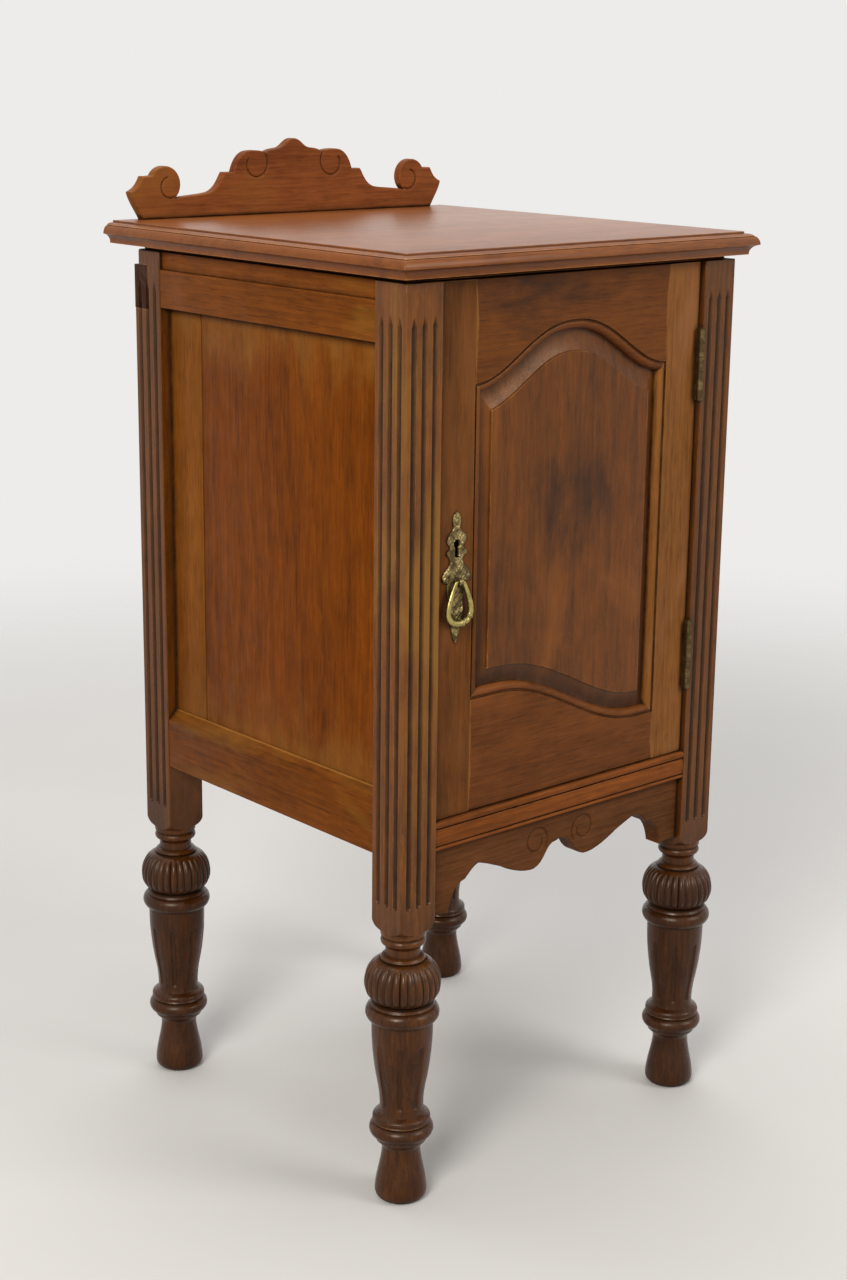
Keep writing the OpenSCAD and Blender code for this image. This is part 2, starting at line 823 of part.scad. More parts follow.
// Height of the upper rail's arched edge at x
function arch(x) =
    let (u = min(1, abs(x) / arris_x))
    arch_z - arch_rise + arch_rise * (1 + cos(180 * pow(u, 1.15))) / 2;

// Height of the lower rail's edge at x: high on the handle side, low on the hinge side
function lower_edge(x) =
    let (t = max(0, min(1, (x + 80) / 170)))
    lower_edge_z - lower_drop * (1 - cos(180 * t)) / 2;

module upper_rail_outline(widen) {
    steps = 36;
    polygon(concat(
        [[arris_x, door_top_z], [-arris_x, door_top_z]],
        [for (i = [0:steps])
            let (x = -arris_x + 2 * arris_x * i / steps) [x, arch(x) - widen]]
    ));
}

module lower_rail_outline(widen) {
    steps = 30;
    polygon(concat(
        [[-arris_x, door_bottom_z], [arris_x, door_bottom_z]],
        [for (i = [steps:-1:0])
            let (x = -arris_x + 2 * arris_x * i / steps) [x, lower_edge(x) + widen]]
    ));
}

// The stile's moulding ends at the rails' corners
module stile_blank(side) {
    for (s = sticking)
        standing(door_y + s[0], s[1] - s[0]) mirror([side < 0 ? 1 : 0, 0]) {
            translate([arris_x, door_bottom_z])
                square([door_half - arris_x, door_top_z - door_bottom_z]);
            if (s[2] > 0)
                translate([arris_x - s[2], lower_edge(side * arris_x)])
                    square([s[2] + 0.01, arch(arris_x) - lower_edge(side * arris_x)]);
        }
}

module stile_corner_cut(side) {
    for (s = sticking)
        if (s[2] > 0)
            standing(door_y + s[0], s[1] - s[0]) mirror([side < 0 ? 1 : 0, 0])
                translate([arris_x - s[2], lower_edge(side * arris_x)])
                    square([s[2] + 1, arch(arris_x) - lower_edge(side * arris_x)]);
}

rail_tenon_t = 6;
rail_tenon_len = 26;

// Tenons of the door rails in the stiles
module door_tenons(side, gap) {
    for (z = [[arch(arris_x) + 12, door_top_z - 12], [door_bottom_z + 10, lower_edge(side * arris_x) - 8]])
        box([side > 0 ? arris_x - 1 : -arris_x - rail_tenon_len - gap,
                door_y + groove_from - gap, z[0] - gap],
            [side > 0 ? arris_x + rail_tenon_len + gap : -arris_x + 1,
                door_y + groove_from + rail_tenon_t + gap, z[1] + gap]);
}

module door_stile_right() {
    color("#6b4220") place() difference() {
        stile_blank(1);
        door_tenons(1, joint_gap);
        hinge_leaf_seats(-door_half, joint_gap / 2);
        hinge_screw_set(-1, pin_gap);
    }
}

module door_stile_left() {
    color("#74461f") place() difference() {
        stile_blank(-1);
        door_tenons(-1, joint_gap);
        lock_seat(joint_gap / 2);
        bolt_path(joint_gap);
        keyhole(door_y - 1, door_t + 2);
        plate_pin_set(pin_gap);
        post_shank(pin_gap);
        lock_screw_set(pin_gap);
    }
}

module door_top_rail() {
    color("#64391c") place() difference() {
        union() {
            for (s = sticking) standing(door_y + s[0], s[1] - s[0]) upper_rail_outline(s[2]);
            rail_tenons(door_bottom_z + 150, door_top_z);
        }
        stile_corner_cut(1);
        stile_corner_cut(-1);
    }
}

module door_bottom_rail() {
    color("#5c351b") place() difference() {
        union() {
            for (s = sticking) standing(door_y + s[0], s[1] - s[0]) lower_rail_outline(s[2]);
            rail_tenons(door_bottom_z, door_bottom_z + 150);
        }
        stile_corner_cut(1);
        stile_corner_cut(-1);
    }
}

module rail_tenons(z_from, z_to) {
    intersection() {
        for (side = [-1, 1]) door_tenons(side, 0);
        box([-door_half, door_y, z_from], [door_half, door_y + door_t, z_to]);
    }
}

// Outline that follows the moulding's inner edge, drawn in by inset at the sides, and by more
// under the arch and at the foot once it is past the moulding
module panel_outline(inset) {
    x_end = arris_x - inset;
    past = max(0, (inset - sticking_w) / bevel_w);
    steps = 36;
    polygon(concat(
        [for (i = [0:steps])
            let (x = -x_end + 2 * x_end * i / steps) [x, arch(x) - inset - arch_bevel_more * past]],
        [for (i = [steps:-1:0])
            let (x = -x_end + 2 * x_end * i / steps) [x, lower_edge(x) + inset + foot_bevel_more * past]]
    ));
}

module door_panel() {
    edge = sticking_w + bevel_w;
    hollow = [[field_set, 3, edge + 1.5], [3, 4.6, edge - 1], [4.6, 6, edge - 4],
        [6, 7.4, edge - 7.5], [7.4, groove_from + joint_gap, sticking_w + joint_gap],
        [groove_from + joint_gap, groove_to - joint_gap, sticking_w - groove_in + joint_gap * 2]];
    color("#5a3218") place() union() {
        for (h = hollow) standing(door_y + h[0], h[1] - h[0]) panel_outline(h[2]);
    }
}

// ---------------------------------------------------------------- hinges

// Side +1 is the leaf on the post, side -1 the leaf on the door
function leaf_x(side) = side > 0 ? leaf_mid + leaf_gap / 2 : leaf_mid - leaf_gap / 2 - leaf_t;

module hinge_leaf(side, z) {
    first = side > 0 ? 0 : 1;
    difference() {
        union() {
            box([leaf_x(side), hinge_y + leaf_front, z],
                [leaf_x(side) + leaf_t, leaf_back, z + hinge_len]);
            for (i = [first:2:knuckles - 1]) {
                low = z + i * knuckle_h + (i > 0 ? 0.15 : 0);
                high = z + (i + 1) * knuckle_h - (i < knuckles - 1 ? 0.15 : 0);
                translate([hinge_x, hinge_y, low]) cylinder(r = knuckle_r, h = high - low);
                box([leaf_x(side), hinge_y, low], [leaf_x(side) + leaf_t, hinge_y + leaf_front + 1, high]);
            }
        }
        translate([hinge_x, hinge_y, z - 1]) cylinder(r = pin_r + pin_gap, h = hinge_len + 2);
        hinge_screw_set(side, pin_gap);
    }
}

module hinge_screw_set(side, gap) {
    face = side > 0 ? leaf_x(side) : leaf_x(side) + leaf_t;
    for (z = hinge_bottoms, h = screw_heights)
        translate([face, hinge_y + leaf_front + leaf_w * 0.56, z + h])
            rotate([0, side > 0 ? 90 : -90, 0]) {
                cylinder(r1 = screw_head_r + gap, r2 = screw_r + gap, h = leaf_t - 0.2);
                cylinder(r = screw_r + gap, h = screw_len);
            }
}

// Shallow seats that let the leaves into the post (x > 0) or the door's edge (x < 0)
module hinge_leaf_seats(x, gap) {
    for (z = hinge_bottoms)
        if (x > 0)
            box([x - 1, -half_d - 1, z - gap],
                [leaf_x(1) + leaf_t + gap, leaf_back + gap, z + hinge_len + gap]);
        else
            box([leaf_x(-1) - gap, door_y - 1, z - gap],
                [-x + 1, leaf_back + gap, z + hinge_len + gap]);
}

module hinge_door_leaves() {
    color("#8a7038") place() for (z = hinge_bottoms) hinge_leaf(-1, z);
}

module hinge_post_leaves() {
    color("#8a7038") place() for (z = hinge_bottoms) hinge_leaf(1, z);
}

module hinge_pins() {
    color("#a08a4a") place() for (z = hinge_bottoms)
        translate([hinge_x, hinge_y, z - pin_end]) cylinder(r = pin_r, h = hinge_len + 2 * pin_end);
}

module hinge_door_screws() {
    color("#9a8448") place() hinge_screw_set(-1, 0);
}

module hinge_post_screws() {
    color("#9a8448") place() hinge_screw_set(1, 0);
}

// ---------------------------------------------------------------- handle and lock

module keyhole(y, t) {
    translate([-plate_x, y + t, key_z]) rotate([90, 0, 0]) {
        translate([0, 4]) cylinder(r = 2.6, h = t, $fn = smooth);
        translate([-1.6, -6.5, 0]) cube([3.2, 10.5, t]);
    }
}

// Half outline of the cast plate, from the upper finial to the lower one
function plate_half() = joined([
    [[0, 609]],
    curve([0, 609], [3, 608], [4.6, 605], [4.6, 601], 5),
    [[3.4, 595.5]],
    curve([3.4, 595.5], [5, 592], [8, 592], [9.2, 589], 4),
    curve([9.2, 589], [11.5, 586], [11, 582], [7.5, 580.5], 5),
    curve([7.5, 578.5], [12, 577.5], [12, 572], [8.5, 571.5], 5),
    curve([8.5, 571.5], [6, 569], [6.5, 566], [8.5, 564], 4),
    curve([8.5, 564], [11, 562], [14, 559], [15.8, 555], 5),
    curve([15.8, 555], [15.5, 551], [12.5, 549], [9.5, 549.5], 4),
    curve([9.5, 549.5], [11, 543], [9, 538], [7.5, 533], 5),
    curve([7.5, 533], [9.5, 527], [8, 520], [6, 516], 5),
    curve([6, 516], [4, 511], [5, 505], [0, 497.5], 6)
]);

module handle_plate() {
    half = [for (p = plate_half()) [p[0], p[1] - 551 + bail_z]];
    color("#7a6a45") place() difference() {
        translate([-plate_x, 0, 0]) standing(plate_y, plate_t)
            polygon(concat(half, mirrored(half)));
        keyhole(plate_y - 1, plate_t + 2);
        plate_pin_set(pin_gap);
        post_shank(pin_gap);
    }
}

// The post that the bail hangs from: an eye in front of the plate and a shank through the stile
eye_w = 4;

module post_shank(gap) {
    translate([-plate_x, plate_y + 12, bail_z]) rotate([90, 0, 0]) cylinder(r = 1.6 + gap, h = 12);
}

module handle_post() {
    color("#7a6a45") place() difference() {
        union() {
            post_shank(0);
            translate([-plate_x, plate_y, bail_z]) rotate([90, 0, 0]) cylinder(r = 3.4, h = 1.2);
            translate([-plate_x - eye_w / 2, plate_y - 4.2, bail_z - 1.7]) cube([eye_w, 4.2, 3.4]);
            translate([-plate_x - eye_w / 2, bail_y, bail_z]) rotate([0, 90, 0])
                cylinder(r = 2.9, h = eye_w);
        }
        translate([-plate_x - eye_w / 2 - 1, bail_y, bail_z]) rotate([0, 90, 0])
            cylinder(r = 1.2 + pin_gap, h = eye_w + 2);
    }
}

module plate_pin_set(gap) {
    for (z = [bail_z + 50, bail_z - 46])
        translate([-plate_x, plate_y + 9, z]) rotate([90, 0, 0]) {
            cylinder(r = 0.8 + gap, h = 9);
            if (gap == 0) translate([0, 0, 9]) cylinder(r1 = 1.5, r2 = 0.9, h = 0.7);
        }
}

module plate_pins() {
    color("#9a8448") place() plate_pin_set(0);
}

// Place of the bail's bar at t, 0 at the left end of its pivot and 1 at the right end
bail_foot = 4.9;

function bail_place(t) =
    let (a = 360 * t, out = pow(abs(sin(a / 2)), 1.2), low = (1 - cos(a)) / 2)
    [(t < 0.5 ? -1 : 1) * (bail_foot * (1 - low)
            + (bail_half - bail_r) * abs(sin(a)) * (0.7 + 0.5 * low)),
        -(bail_h - bail_r) * out];

// Points of a ring of the tube that follows the bail's route
function bail_ring(t, sides) =
    let (p = bail_place(t), d = bail_place(min(1, t + 0.002)) - bail_place(max(0, t - 0.002)),
        n = [d[1], -d[0]] / norm(d), r = bail_r * (0.72 + 0.28 * min(1, 5 * min(t, 1 - t))))
    [for (i = [0:sides - 1])
        let (a = 360 * i / sides)
        [p[0] + n[0] * r * cos(a), r * sin(a), p[1] + n[1] * r * cos(a)]];

module bail() {
    rings = 44;
    sides = 12;
    points = [for (k = [0:rings]) each bail_ring(k / rings, sides)];
    color("#b8a050") place() translate([-plate_x, bail_y, bail_z]) {
        rotate([0, 90, 0]) cylinder(r = 1.2, h = 2 * bail_foot, center = true);
        polyhedron(points, concat(
            [[for (i = [0:sides - 1]) i]],
            [for (k = [0:rings - 1], i = [0:sides - 1])
                let (a = k * sides + i, b = k * sides + (i + 1) % sides)
                each [[a, b + sides, b], [a, a + sides, b + sides]]],
            [[for (i = [sides - 1:-1:0]) rings * sides + i]]
        ));
    }
}

// Mortise for the lock in the back of the left stile
module lock_seat(gap) {
    box([-door_half - 1, door_y + door_t - lock_t - gap, lock_z - lock_h / 2 - gap],
        [-door_half + lock_w + gap, door_y + door_t + 1, lock_z + lock_h / 2 + gap]);
}

module lock_case() {
    wall = 1.2;
    x0 = -door_half;
    y0 = door_y + door_t - lock_t;
    color("#5a5048") place() difference() {
        box([x0, y0, lock_z - lock_h / 2], [x0 + lock_w, y0 + lock_t - wall, lock_z + lock_h / 2]);
        box([x0 + wall, y0 + wall, lock_z - lock_h / 2 + wall],
            [x0 + lock_w - wall, y0 + lock_t, lock_z + lock_h / 2 - wall]);
        box([x0 - 1, lock_bolt_y - joint_gap, lock_z - bolt_h / 2 - joint_gap],
            [x0 + wall + 1, lock_bolt_y + bolt_t + joint_gap, lock_z + bolt_h / 2 + joint_gap]);
        keyhole(y0 - 1, wall + 2);
        lock_screw_set(pin_gap);
    }
}

lock_bolt_y = door_y + door_t - lock_t + 1.6;

module lock_cap() {
    x0 = -door_half;
    color("#5a5048") place() difference() {
        box([x0, door_y + door_t - 1.2, lock_z - lock_h / 2],
            [x0 + lock_w, door_y + door_t, lock_z + lock_h / 2]);
        lock_screw_set(pin_gap);
    }
}

module lock_bolt() {
    color("#7c7468") place()
        box([-door_half + 0.3, lock_bolt_y, lock_z - bolt_h / 2],
            [-door_half + 15, lock_bolt_y + bolt_t, lock_z + bolt_h / 2]);
}

// The way that the bolt takes out of the door and into the left post
module bolt_path(gap) {
    box([-in_x - bolt_throw - 1, lock_bolt_y - gap - 0.2, lock_z - bolt_h / 2 - gap - 0.4],
        [-door_half + 1, lock_bolt_y + bolt_t + gap + 0.2, lock_z + bolt_h / 2 + gap + 0.4]);
}

module lock_screw_set(gap) {
    for (z = [-1, 1], x = [5, lock_w - 5])
        translate([-door_half + x, door_y + door_t - lock_t - 6, lock_z + z * (lock_h / 2 - 5)])
            rotate([-90, 0, 0]) {
                cylinder(r = 1.1 + gap, h = lock_t + 6);
                translate([0, 0, lock_t + 4.8]) cylinder(r1 = 1.1 + gap, r2 = 2.2 + gap, h = 1.2);
            }
}

module lock_screws() {
    color("#8c8478") place() lock_screw_set(0);
}

top_board();
gallery();
gallery_dowels();
under_top_frame();
top_blocks();
top_screws();
post_front_left();
post_front_right();
post_back_left();
post_back_right();
repair_slip();
side_top_rail_left();
side_top_rail_right();
side_bottom_rail_left();
side_bottom_rail_right();
side_front_board_left();
side_back_board_left();
side_front_board_right();
side_back_board_right();
front_top_rail();
sill_rail();
apron();
back_top_rail();
back_bottom_rail();
back_boards();
bottom_board();
bottom_cleats();
shelf();
shelf_cleats();
cleat_screws();
door_stop();
door_stile_left();
door_stile_right();
door_top_rail();
door_bottom_rail();
door_panel();
hinge_door_leaves();
hinge_post_leaves();
hinge_pins();
hinge_door_screws();
hinge_post_screws();
handle_plate();
handle_post();
plate_pins();
bail();
lock_case();
lock_cap();
lock_bolt();
lock_screws();
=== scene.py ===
# %% [markdown]
# # Bedside pot cupboard
# An old stained-wood bedside cupboard: a moulded top with a carved gallery, fluted posts that
# turn into gadrooned legs, one fielded door and a carved apron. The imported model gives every
# piece its place and size. This script gives the carved, turned and moulded pieces their true
# curves, softens the edges of the plain boards, and gives every surface its finish.
# Lengths are in millimetres unless a name or a comment says metres.

# %% Frame
import json
import math
import bpy
import bmesh
import numpy as np
from mathutils import Matrix, Vector
from mathutils.geometry import delaunay_2d_cdt


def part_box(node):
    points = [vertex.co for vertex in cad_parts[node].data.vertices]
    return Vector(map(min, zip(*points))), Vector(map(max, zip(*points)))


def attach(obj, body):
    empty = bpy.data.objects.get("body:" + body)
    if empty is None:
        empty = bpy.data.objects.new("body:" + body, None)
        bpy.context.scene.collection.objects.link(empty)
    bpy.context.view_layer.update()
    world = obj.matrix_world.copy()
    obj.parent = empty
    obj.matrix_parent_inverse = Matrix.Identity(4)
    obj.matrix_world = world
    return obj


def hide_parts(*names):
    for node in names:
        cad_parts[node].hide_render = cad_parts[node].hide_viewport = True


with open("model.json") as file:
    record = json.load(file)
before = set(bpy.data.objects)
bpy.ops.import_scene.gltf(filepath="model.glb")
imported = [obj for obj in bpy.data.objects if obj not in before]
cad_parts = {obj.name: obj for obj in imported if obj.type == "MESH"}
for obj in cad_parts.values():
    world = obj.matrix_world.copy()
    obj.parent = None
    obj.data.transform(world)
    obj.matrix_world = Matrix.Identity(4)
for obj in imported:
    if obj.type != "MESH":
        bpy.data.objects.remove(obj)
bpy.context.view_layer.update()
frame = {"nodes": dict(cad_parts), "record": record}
MM = 0.001


# %% Sizes read from the frame
def extent(node):
    """Lowest and highest corner of a CAD node, in millimetres."""
    low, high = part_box(node)
    return np.array(low) / MM, np.array(high) / MM


def centre(node):
    low, high = extent(node)
    return (low + high) / 2


POST_W = 38.4
POST_X = -centre("post_front_left")[0]
OUT_X, IN_X = POST_X + POST_W / 2, POST_X - POST_W / 2
FRONT_Y = centre("post_front_left")[1] - POST_W / 2
BACK_Y = centre("post_back_right")[1] + POST_W / 2
POST_TOP = extent("post_front_left")[1][2]
TOP_HIGH = extent("top_board")[1]
TOP_Z = TOP_HIGH[2]
DOOR_Y = extent("door_top_rail")[0][1]
DOOR_BOTTOM, DOOR_TOP = (corner[2] for corner in extent("door_stile_left"))
DOOR_HALF = extent("door_stile_right")[1][0]
# Half the width of the opening that the door's frame leaves for its panel
ARRIS_X = 113.6
print("post faces at", round(OUT_X, 1), round(FRONT_Y, 1), "door face", round(DOOR_Y, 1))

# %% [markdown]
# ## Camera, floor and light
# The photograph looks down at the front left corner from a standing person's height. Its place
# was worked out from the cupboard's own straight edges. A large pale floor and broad lamps keep
# the light plain, so that each colour shows about as it is written.

# %% Camera
CAMERA_AT = Vector((-1.2952, -1.4667, 0.9675))
TURN, TILT, ROLL = math.radians(41.42), math.radians(15.12), math.radians(0.686)
FOCAL_PIXELS, LONG_SIDE_PIXELS, SENSOR = 2168.8, 1280, 36


def put_in_scene(name, data):
    """A new object in the scene with that mesh, lamp or camera."""
    made = bpy.data.objects.new(name, data)
    bpy.context.scene.collection.objects.link(made)
    return made


look = Vector((math.sin(TURN) * math.cos(TILT), math.cos(TURN) * math.cos(TILT), -math.sin(TILT)))
camera_data = bpy.data.cameras.new("camera")
camera_data.sensor_width = SENSOR
camera_data.lens = SENSOR * FOCAL_PIXELS / LONG_SIDE_PIXELS
camera = put_in_scene("camera", camera_data)
camera.rotation_mode = "QUATERNION"
camera.rotation_quaternion = look.to_track_quat("-Z", "Y") @ Matrix.Rotation(ROLL, 3, "Z").to_quaternion()
camera.location = CAMERA_AT
bpy.context.scene.camera = camera
bpy.context.scene.view_settings.view_transform = "Standard"
print("lens:", round(camera_data.lens, 1), "mm")


# %% Nodes and colours
def linear(text):
    """The colour a hex code shows on a screen, as a shader wants it."""
    channels = [int(text[i:i + 2], 16) / 255 for i in (1, 3, 5)]
    return tuple(c / 12.92 if c <= 0.04045 else ((c + 0.055) / 1.055) ** 2.4 for c in channels) + (1.0,)


def plug(node, links):
    """Sets a node's inputs, each to a value, an output or, for a node, its first output."""
    for key, value in links.items():
        if isinstance(value, bpy.types.Node):
            value = value.outputs[0]
        if isinstance(value, bpy.types.NodeSocket):
            node.id_data.links.new(value, node.inputs[key])
        else:
            node.inputs[key].default_value = value


def add(tree, kind, links=None, **settings):
    """Adds a node with its settings and links."""
    made = tree.nodes.new(kind)
    for key, value in settings.items():
        setattr(made, key, value)
    plug(made, links or {})
    return made


def new_finish(name):
    """A material, its tree, its shader and the object's own coordinates."""
    made = bpy.data.materials.new(name)
    made.use_nodes = True
    tree = made.node_tree
    return made, tree, tree.nodes["Principled BSDF"], add(tree, "ShaderNodeTexCoord").outputs["Object"]


def layered(tree, base, layers):
    """A colour with others laid over it; layers are (share, hex code), the lowest first."""
    colour = linear(base)
    for share, shade in layers:
        colour = add(tree, "ShaderNodeMix", {0: share, 6: colour, 7: linear(shade)},
                     data_type="RGBA").outputs[2]
    return colour


# %% Floor and world
def pale_world():
    world = bpy.data.worlds.new("pale room")
    bpy.context.scene.world = world
    world.use_nodes = True
    tree = world.node_tree
    tree.nodes.clear()
    path = add(tree, "ShaderNodeLightPath")
    seen = 0.0
    for ray in ("Is Camera Ray", "Is Transmission Ray", "Is Glossy Ray"):
        seen = add(tree, "ShaderNodeMath", {0: seen, 1: path.outputs[ray]}, operation="MAXIMUM")
    room = add(tree, "ShaderNodeBackground", {"Color": linear("#E9E6E2"), "Strength": 0.36})
    wall = add(tree, "ShaderNodeBackground", {"Color": linear("#EDECEA"), "Strength": 1.0})
    both = add(tree, "ShaderNodeMixShader", {0: seen, 1: room, 2: wall})
    add(tree, "ShaderNodeOutputWorld", {"Surface": both})


def pale_floor(half=6.0):
    """A pale floor that fades out past the object, so that it meets the wall without a line."""
    mesh = bpy.data.meshes.new("floor")
    mesh.from_pydata([(-half, -half, 0), (half, -half, 0), (half, half, 0), (-half, half, 0)], [],
                     [(0, 1, 2, 3)])
    finish, tree, shader, place = new_finish("pale floor")
    cloud = add(tree, "ShaderNodeTexNoise", {"Vector": place, "Scale": 3.0, "Detail": 4.0})
    # The real floor is worn red concrete, and sends less light up than this pale one would
    path = add(tree, "ShaderNodeLightPath")
    plug(shader, {"Roughness": 0.85, "Base Color": layered(tree, "#DAD9D7", [
        (cloud, "#E2E1DF"), (path.outputs["Is Diffuse Ray"], "#86766C")])})
    reach = add(tree, "ShaderNodeVectorMath", {0: place}, operation="LENGTH")
    fade = add(tree, "ShaderNodeMapRange", {"Value": reach.outputs["Value"], "From Min": 0.9,
               "From Max": 2.4}, interpolation_type="SMOOTHSTEP")
    clear = add(tree, "ShaderNodeBsdfTransparent")
    both = add(tree, "ShaderNodeMixShader", {0: fade, 1: shader, 2: clear})
    plug(tree.nodes["Material Output"], {"Surface": both})
    mesh.materials.append(finish)
    put_in_scene("floor", mesh)


def lamp(name, at, aim, size, watts, tint="#FFFFFF", height=None):
    """A broad lamp that faces aim: round, or a rectangle where a height is given. In metres."""
    data = bpy.data.lights.new(name, "AREA")
    data.shape, data.size, data.energy, data.color = "DISK", size, watts, linear(tint)[:3]
    if height:
        data.shape, data.size_y = "RECTANGLE", height
    made = put_in_scene(name, data)
    made.location = at
    made.rotation_euler = (Vector(aim) - Vector(at)).to_track_quat("-Z", "Y").to_euler()
    made.visible_camera = False


pale_world()
pale_floor()
lamp("window left", (-2.85, -1.6, 2.3), (0, 0, 0.5), 1.5, 94, "#FFF9F2")
lamp("room front", (1.4, -2.9, 2.2), (0, 0, 0.6), 1.8, 46, "#FAF8F6")
lamp("ceiling", (0.3, 0.6, 3.2), (0, 0, 0.4), 2.4, 40)
# The pale wall behind the cupboard, which the polished top mirrors at a low angle
lamp("wall glow", (2.3, 2.6, 1.25), (0, 0, 1.0), 4.6, 9, height=2.3)

# %% [markdown]
# ## Finishes
# Each finish works in the object's own coordinates, so neighbouring pieces that share a finish
# still differ: the grain runs along the axis that a joiner would choose, and a seed shifts the
# growth rings. The rings are slices through a log whose pith lies outside the board. Dirt and
# painted shade gather where surfaces face each other, and edges that hands reach are rubbed paler.

# %% Wood
# How far slow noise bends the growth rings, in m
RING_BEND = 0.05


def wood(name, grain, light, dark, seed, dirt="#211208", rub=None, rough=0.45, spacing=7.0,
         pith=(0.13, 0.09), streak=1.0, grime_and_shade=1.0, patches=None, shine=0.10, stain=None, legs=None,
         ends=None, relief_bump=0.2, uneven=1.0, varnish="#F4CEA2"):
    """A stained wood. grain is its axis, spacing its ring width in mm, pith the log's middle in m.

    patches is a colour in drawn-out clouds. stain (x, z, half width, half height, colour) is a dark
    cloud at one place on the door's front, in m. legs (height, fade, colour) darkens everything
    below a height, and ends (low, high, reach, colour) pales the board in streaks near its two
    ends. uneven is how much the gloss varies, and varnish tints what the surface mirrors, as old
    shellac does. dirt is the colour of the pores and of the dirt and painted shade that gather where
    surfaces face each other. A piece may also carry its own dirt and painted shade, from 0 to 1, as
    an attribute called dirt.
    """
    made, tree, shader, place = new_finish(name)
    axis = "XYZ".index(grain)
    across = [i for i in range(3) if i != axis]

    def drawn_out(scale, squeeze, detail, roughness=0.5, distortion=0.0):
        """A cloud about 1/scale m wide, squeeze times longer along the grain."""
        scales = [scale] * 3
        scales[axis] /= squeeze
        moved = add(tree, "ShaderNodeMapping", {"Vector": place, "Scale": scales,
                    "Location": (seed * 1.37, seed * 0.71, seed * 2.11)})
        return add(tree, "ShaderNodeTexNoise", {"Vector": moved, "Scale": 1.0, "Detail": detail,
                   "Roughness": roughness, "Distortion": distortion})

    # Growth rings: distance from the pith, bent by slow noise along the log
    offset = [-RING_BEND / 2] * 3
    offset[across[0]] += pith[0] + 0.011 * (seed % 5)
    offset[across[1]] += pith[1] - 0.007 * (seed % 3)
    log = add(tree, "ShaderNodeMapping", {"Vector": place, "Location": offset})
    bent = add(tree, "ShaderNodeVectorMath", {0: drawn_out(6.0, 4.0, 2.0).outputs["Color"],
               1: [RING_BEND] * 3, 2: log}, operation="MULTIPLY_ADD")
    rings = add(tree, "ShaderNodeTexWave", {"Vector": bent, "Scale": math.tau / 20 * 1000 / spacing,
                "Distortion": 1.6, "Detail": 2.0, "Detail Scale": 1.2}, wave_type="RINGS",
                rings_direction=grain, wave_profile="SAW").outputs["Fac"]
    # Fibres 2.4 mm wide and 38 mm long: single ones are far finer and would not show
    fibre = drawn_out(420.0, 16.0, 6.0, 0.68)
    # Mottle 16 mm wide, figure 36 mm wide and 250 mm long
    mottle, figure = drawn_out(62.0, 1.7, 5.0, 0.62), drawn_out(28.0, 7.0, 3.0, 0.55)
    # Pores 0.9 mm wide: real ones are about 0.1 mm, too fine to show, so these are drawn coarser
    pores = add(tree, "ShaderNodeMapRange", {"Value": drawn_out(1100.0, 26.0, 1.0), "From Min": 0.60,
                "From Max": 0.70})

    # Tone: rings, fibre, mottle and figure added up, from the light colour to the dark one
    parts = ((rings, 0.14 * streak), (fibre, 0.9), (mottle, 0.5), (figure, 0.7 * streak))
    middle = sum(weight for _, weight in parts) / 2
    tone = 0.0
    for source, weight in parts:
        tone = add(tree, "ShaderNodeMath", {0: source, 1: weight, 2: tone}, operation="MULTIPLY_ADD")
    tone = add(tree, "ShaderNodeMapRange", {"Value": tone, "From Min": middle - 0.30,
               "From Max": middle + 0.30})
    pore_share = add(tree, "ShaderNodeMath", {0: pores, 1: 0.35}, operation="MULTIPLY")
    layers = [(tone, dark), (pore_share, dirt)]
    up = add(tree, "ShaderNodeSeparateXYZ", {0: place}).outputs[2]
    if patches:
        worn = add(tree, "ShaderNodeMapRange", {"Value": drawn_out(9.0, 3.0, 4.0, 0.65, 0.6),
                   "From Min": 0.50, "From Max": 0.66, "To Max": 0.7})
        layers.append((worn, patches))
    if stain:
        # It reaches 8 mm deep, and a cloud 45 mm wide and a smear 14 mm wide break its edge
        x, z, wide, high, shade = stain
        deep = 0.008
        off = add(tree, "ShaderNodeMapping", {"Vector": place, "Scale": (1 / wide, 1 / deep, 1 / high),
                  "Location": (-x / wide, -DOOR_Y * MM / deep, -z / high)})
        far = add(tree, "ShaderNodeVectorMath", {0: off}, operation="LENGTH").outputs["Value"]
        for cloud, weight in ((drawn_out(22.0, 2.5, 5.0, 0.6), 2.0), (drawn_out(70.0, 3.0, 4.0, 0.6), 2.2)):
            far = add(tree, "ShaderNodeMath", {0: cloud, 1: weight, 2: far}, operation="MULTIPLY_ADD")
        far = add(tree, "ShaderNodeMapRange", {"Value": far, "From Min": 3.25, "From Max": 1.7,
                  "To Max": 0.85}, interpolation_type="SMOOTHSTEP")
        layers.append((far, shade))
    if ends:
        low, high, reach, shade = ends
        from_low = add(tree, "ShaderNodeMath", {0: up, 1: low}, operation="SUBTRACT")
        from_high = add(tree, "ShaderNodeMath", {0: high, 1: up}, operation="SUBTRACT")
        near = add(tree, "ShaderNodeMath", {0: from_low, 1: from_high}, operation="MINIMUM")
        near = add(tree, "ShaderNodeMath", {0: drawn_out(42.0, 2.2, 6.0, 0.7), 1: -5.0 * reach, 2: near},
                   operation="MULTIPLY_ADD")
        paler = add(tree, "ShaderNodeMapRange", {"Value": near, "From Min": -0.6 * reach,
                    "From Max": -3.4 * reach, "To Max": 0.6}, interpolation_type="SMOOTHSTEP")
        layers.append((paler, shade))
    if legs:
        height, fade, shade = legs
        lower = add(tree, "ShaderNodeMapRange", {"Value": up, "From Min": height + fade,
                    "From Max": height - fade}, interpolation_type="SMOOTHSTEP")
        taken = add(tree, "ShaderNodeMath", {0: tone, 1: 0.38, 2: 0.56}, operation="MULTIPLY_ADD")
        layers.append((add(tree, "ShaderNodeMath", {0: lower, 1: taken}, operation="MULTIPLY"), shade))
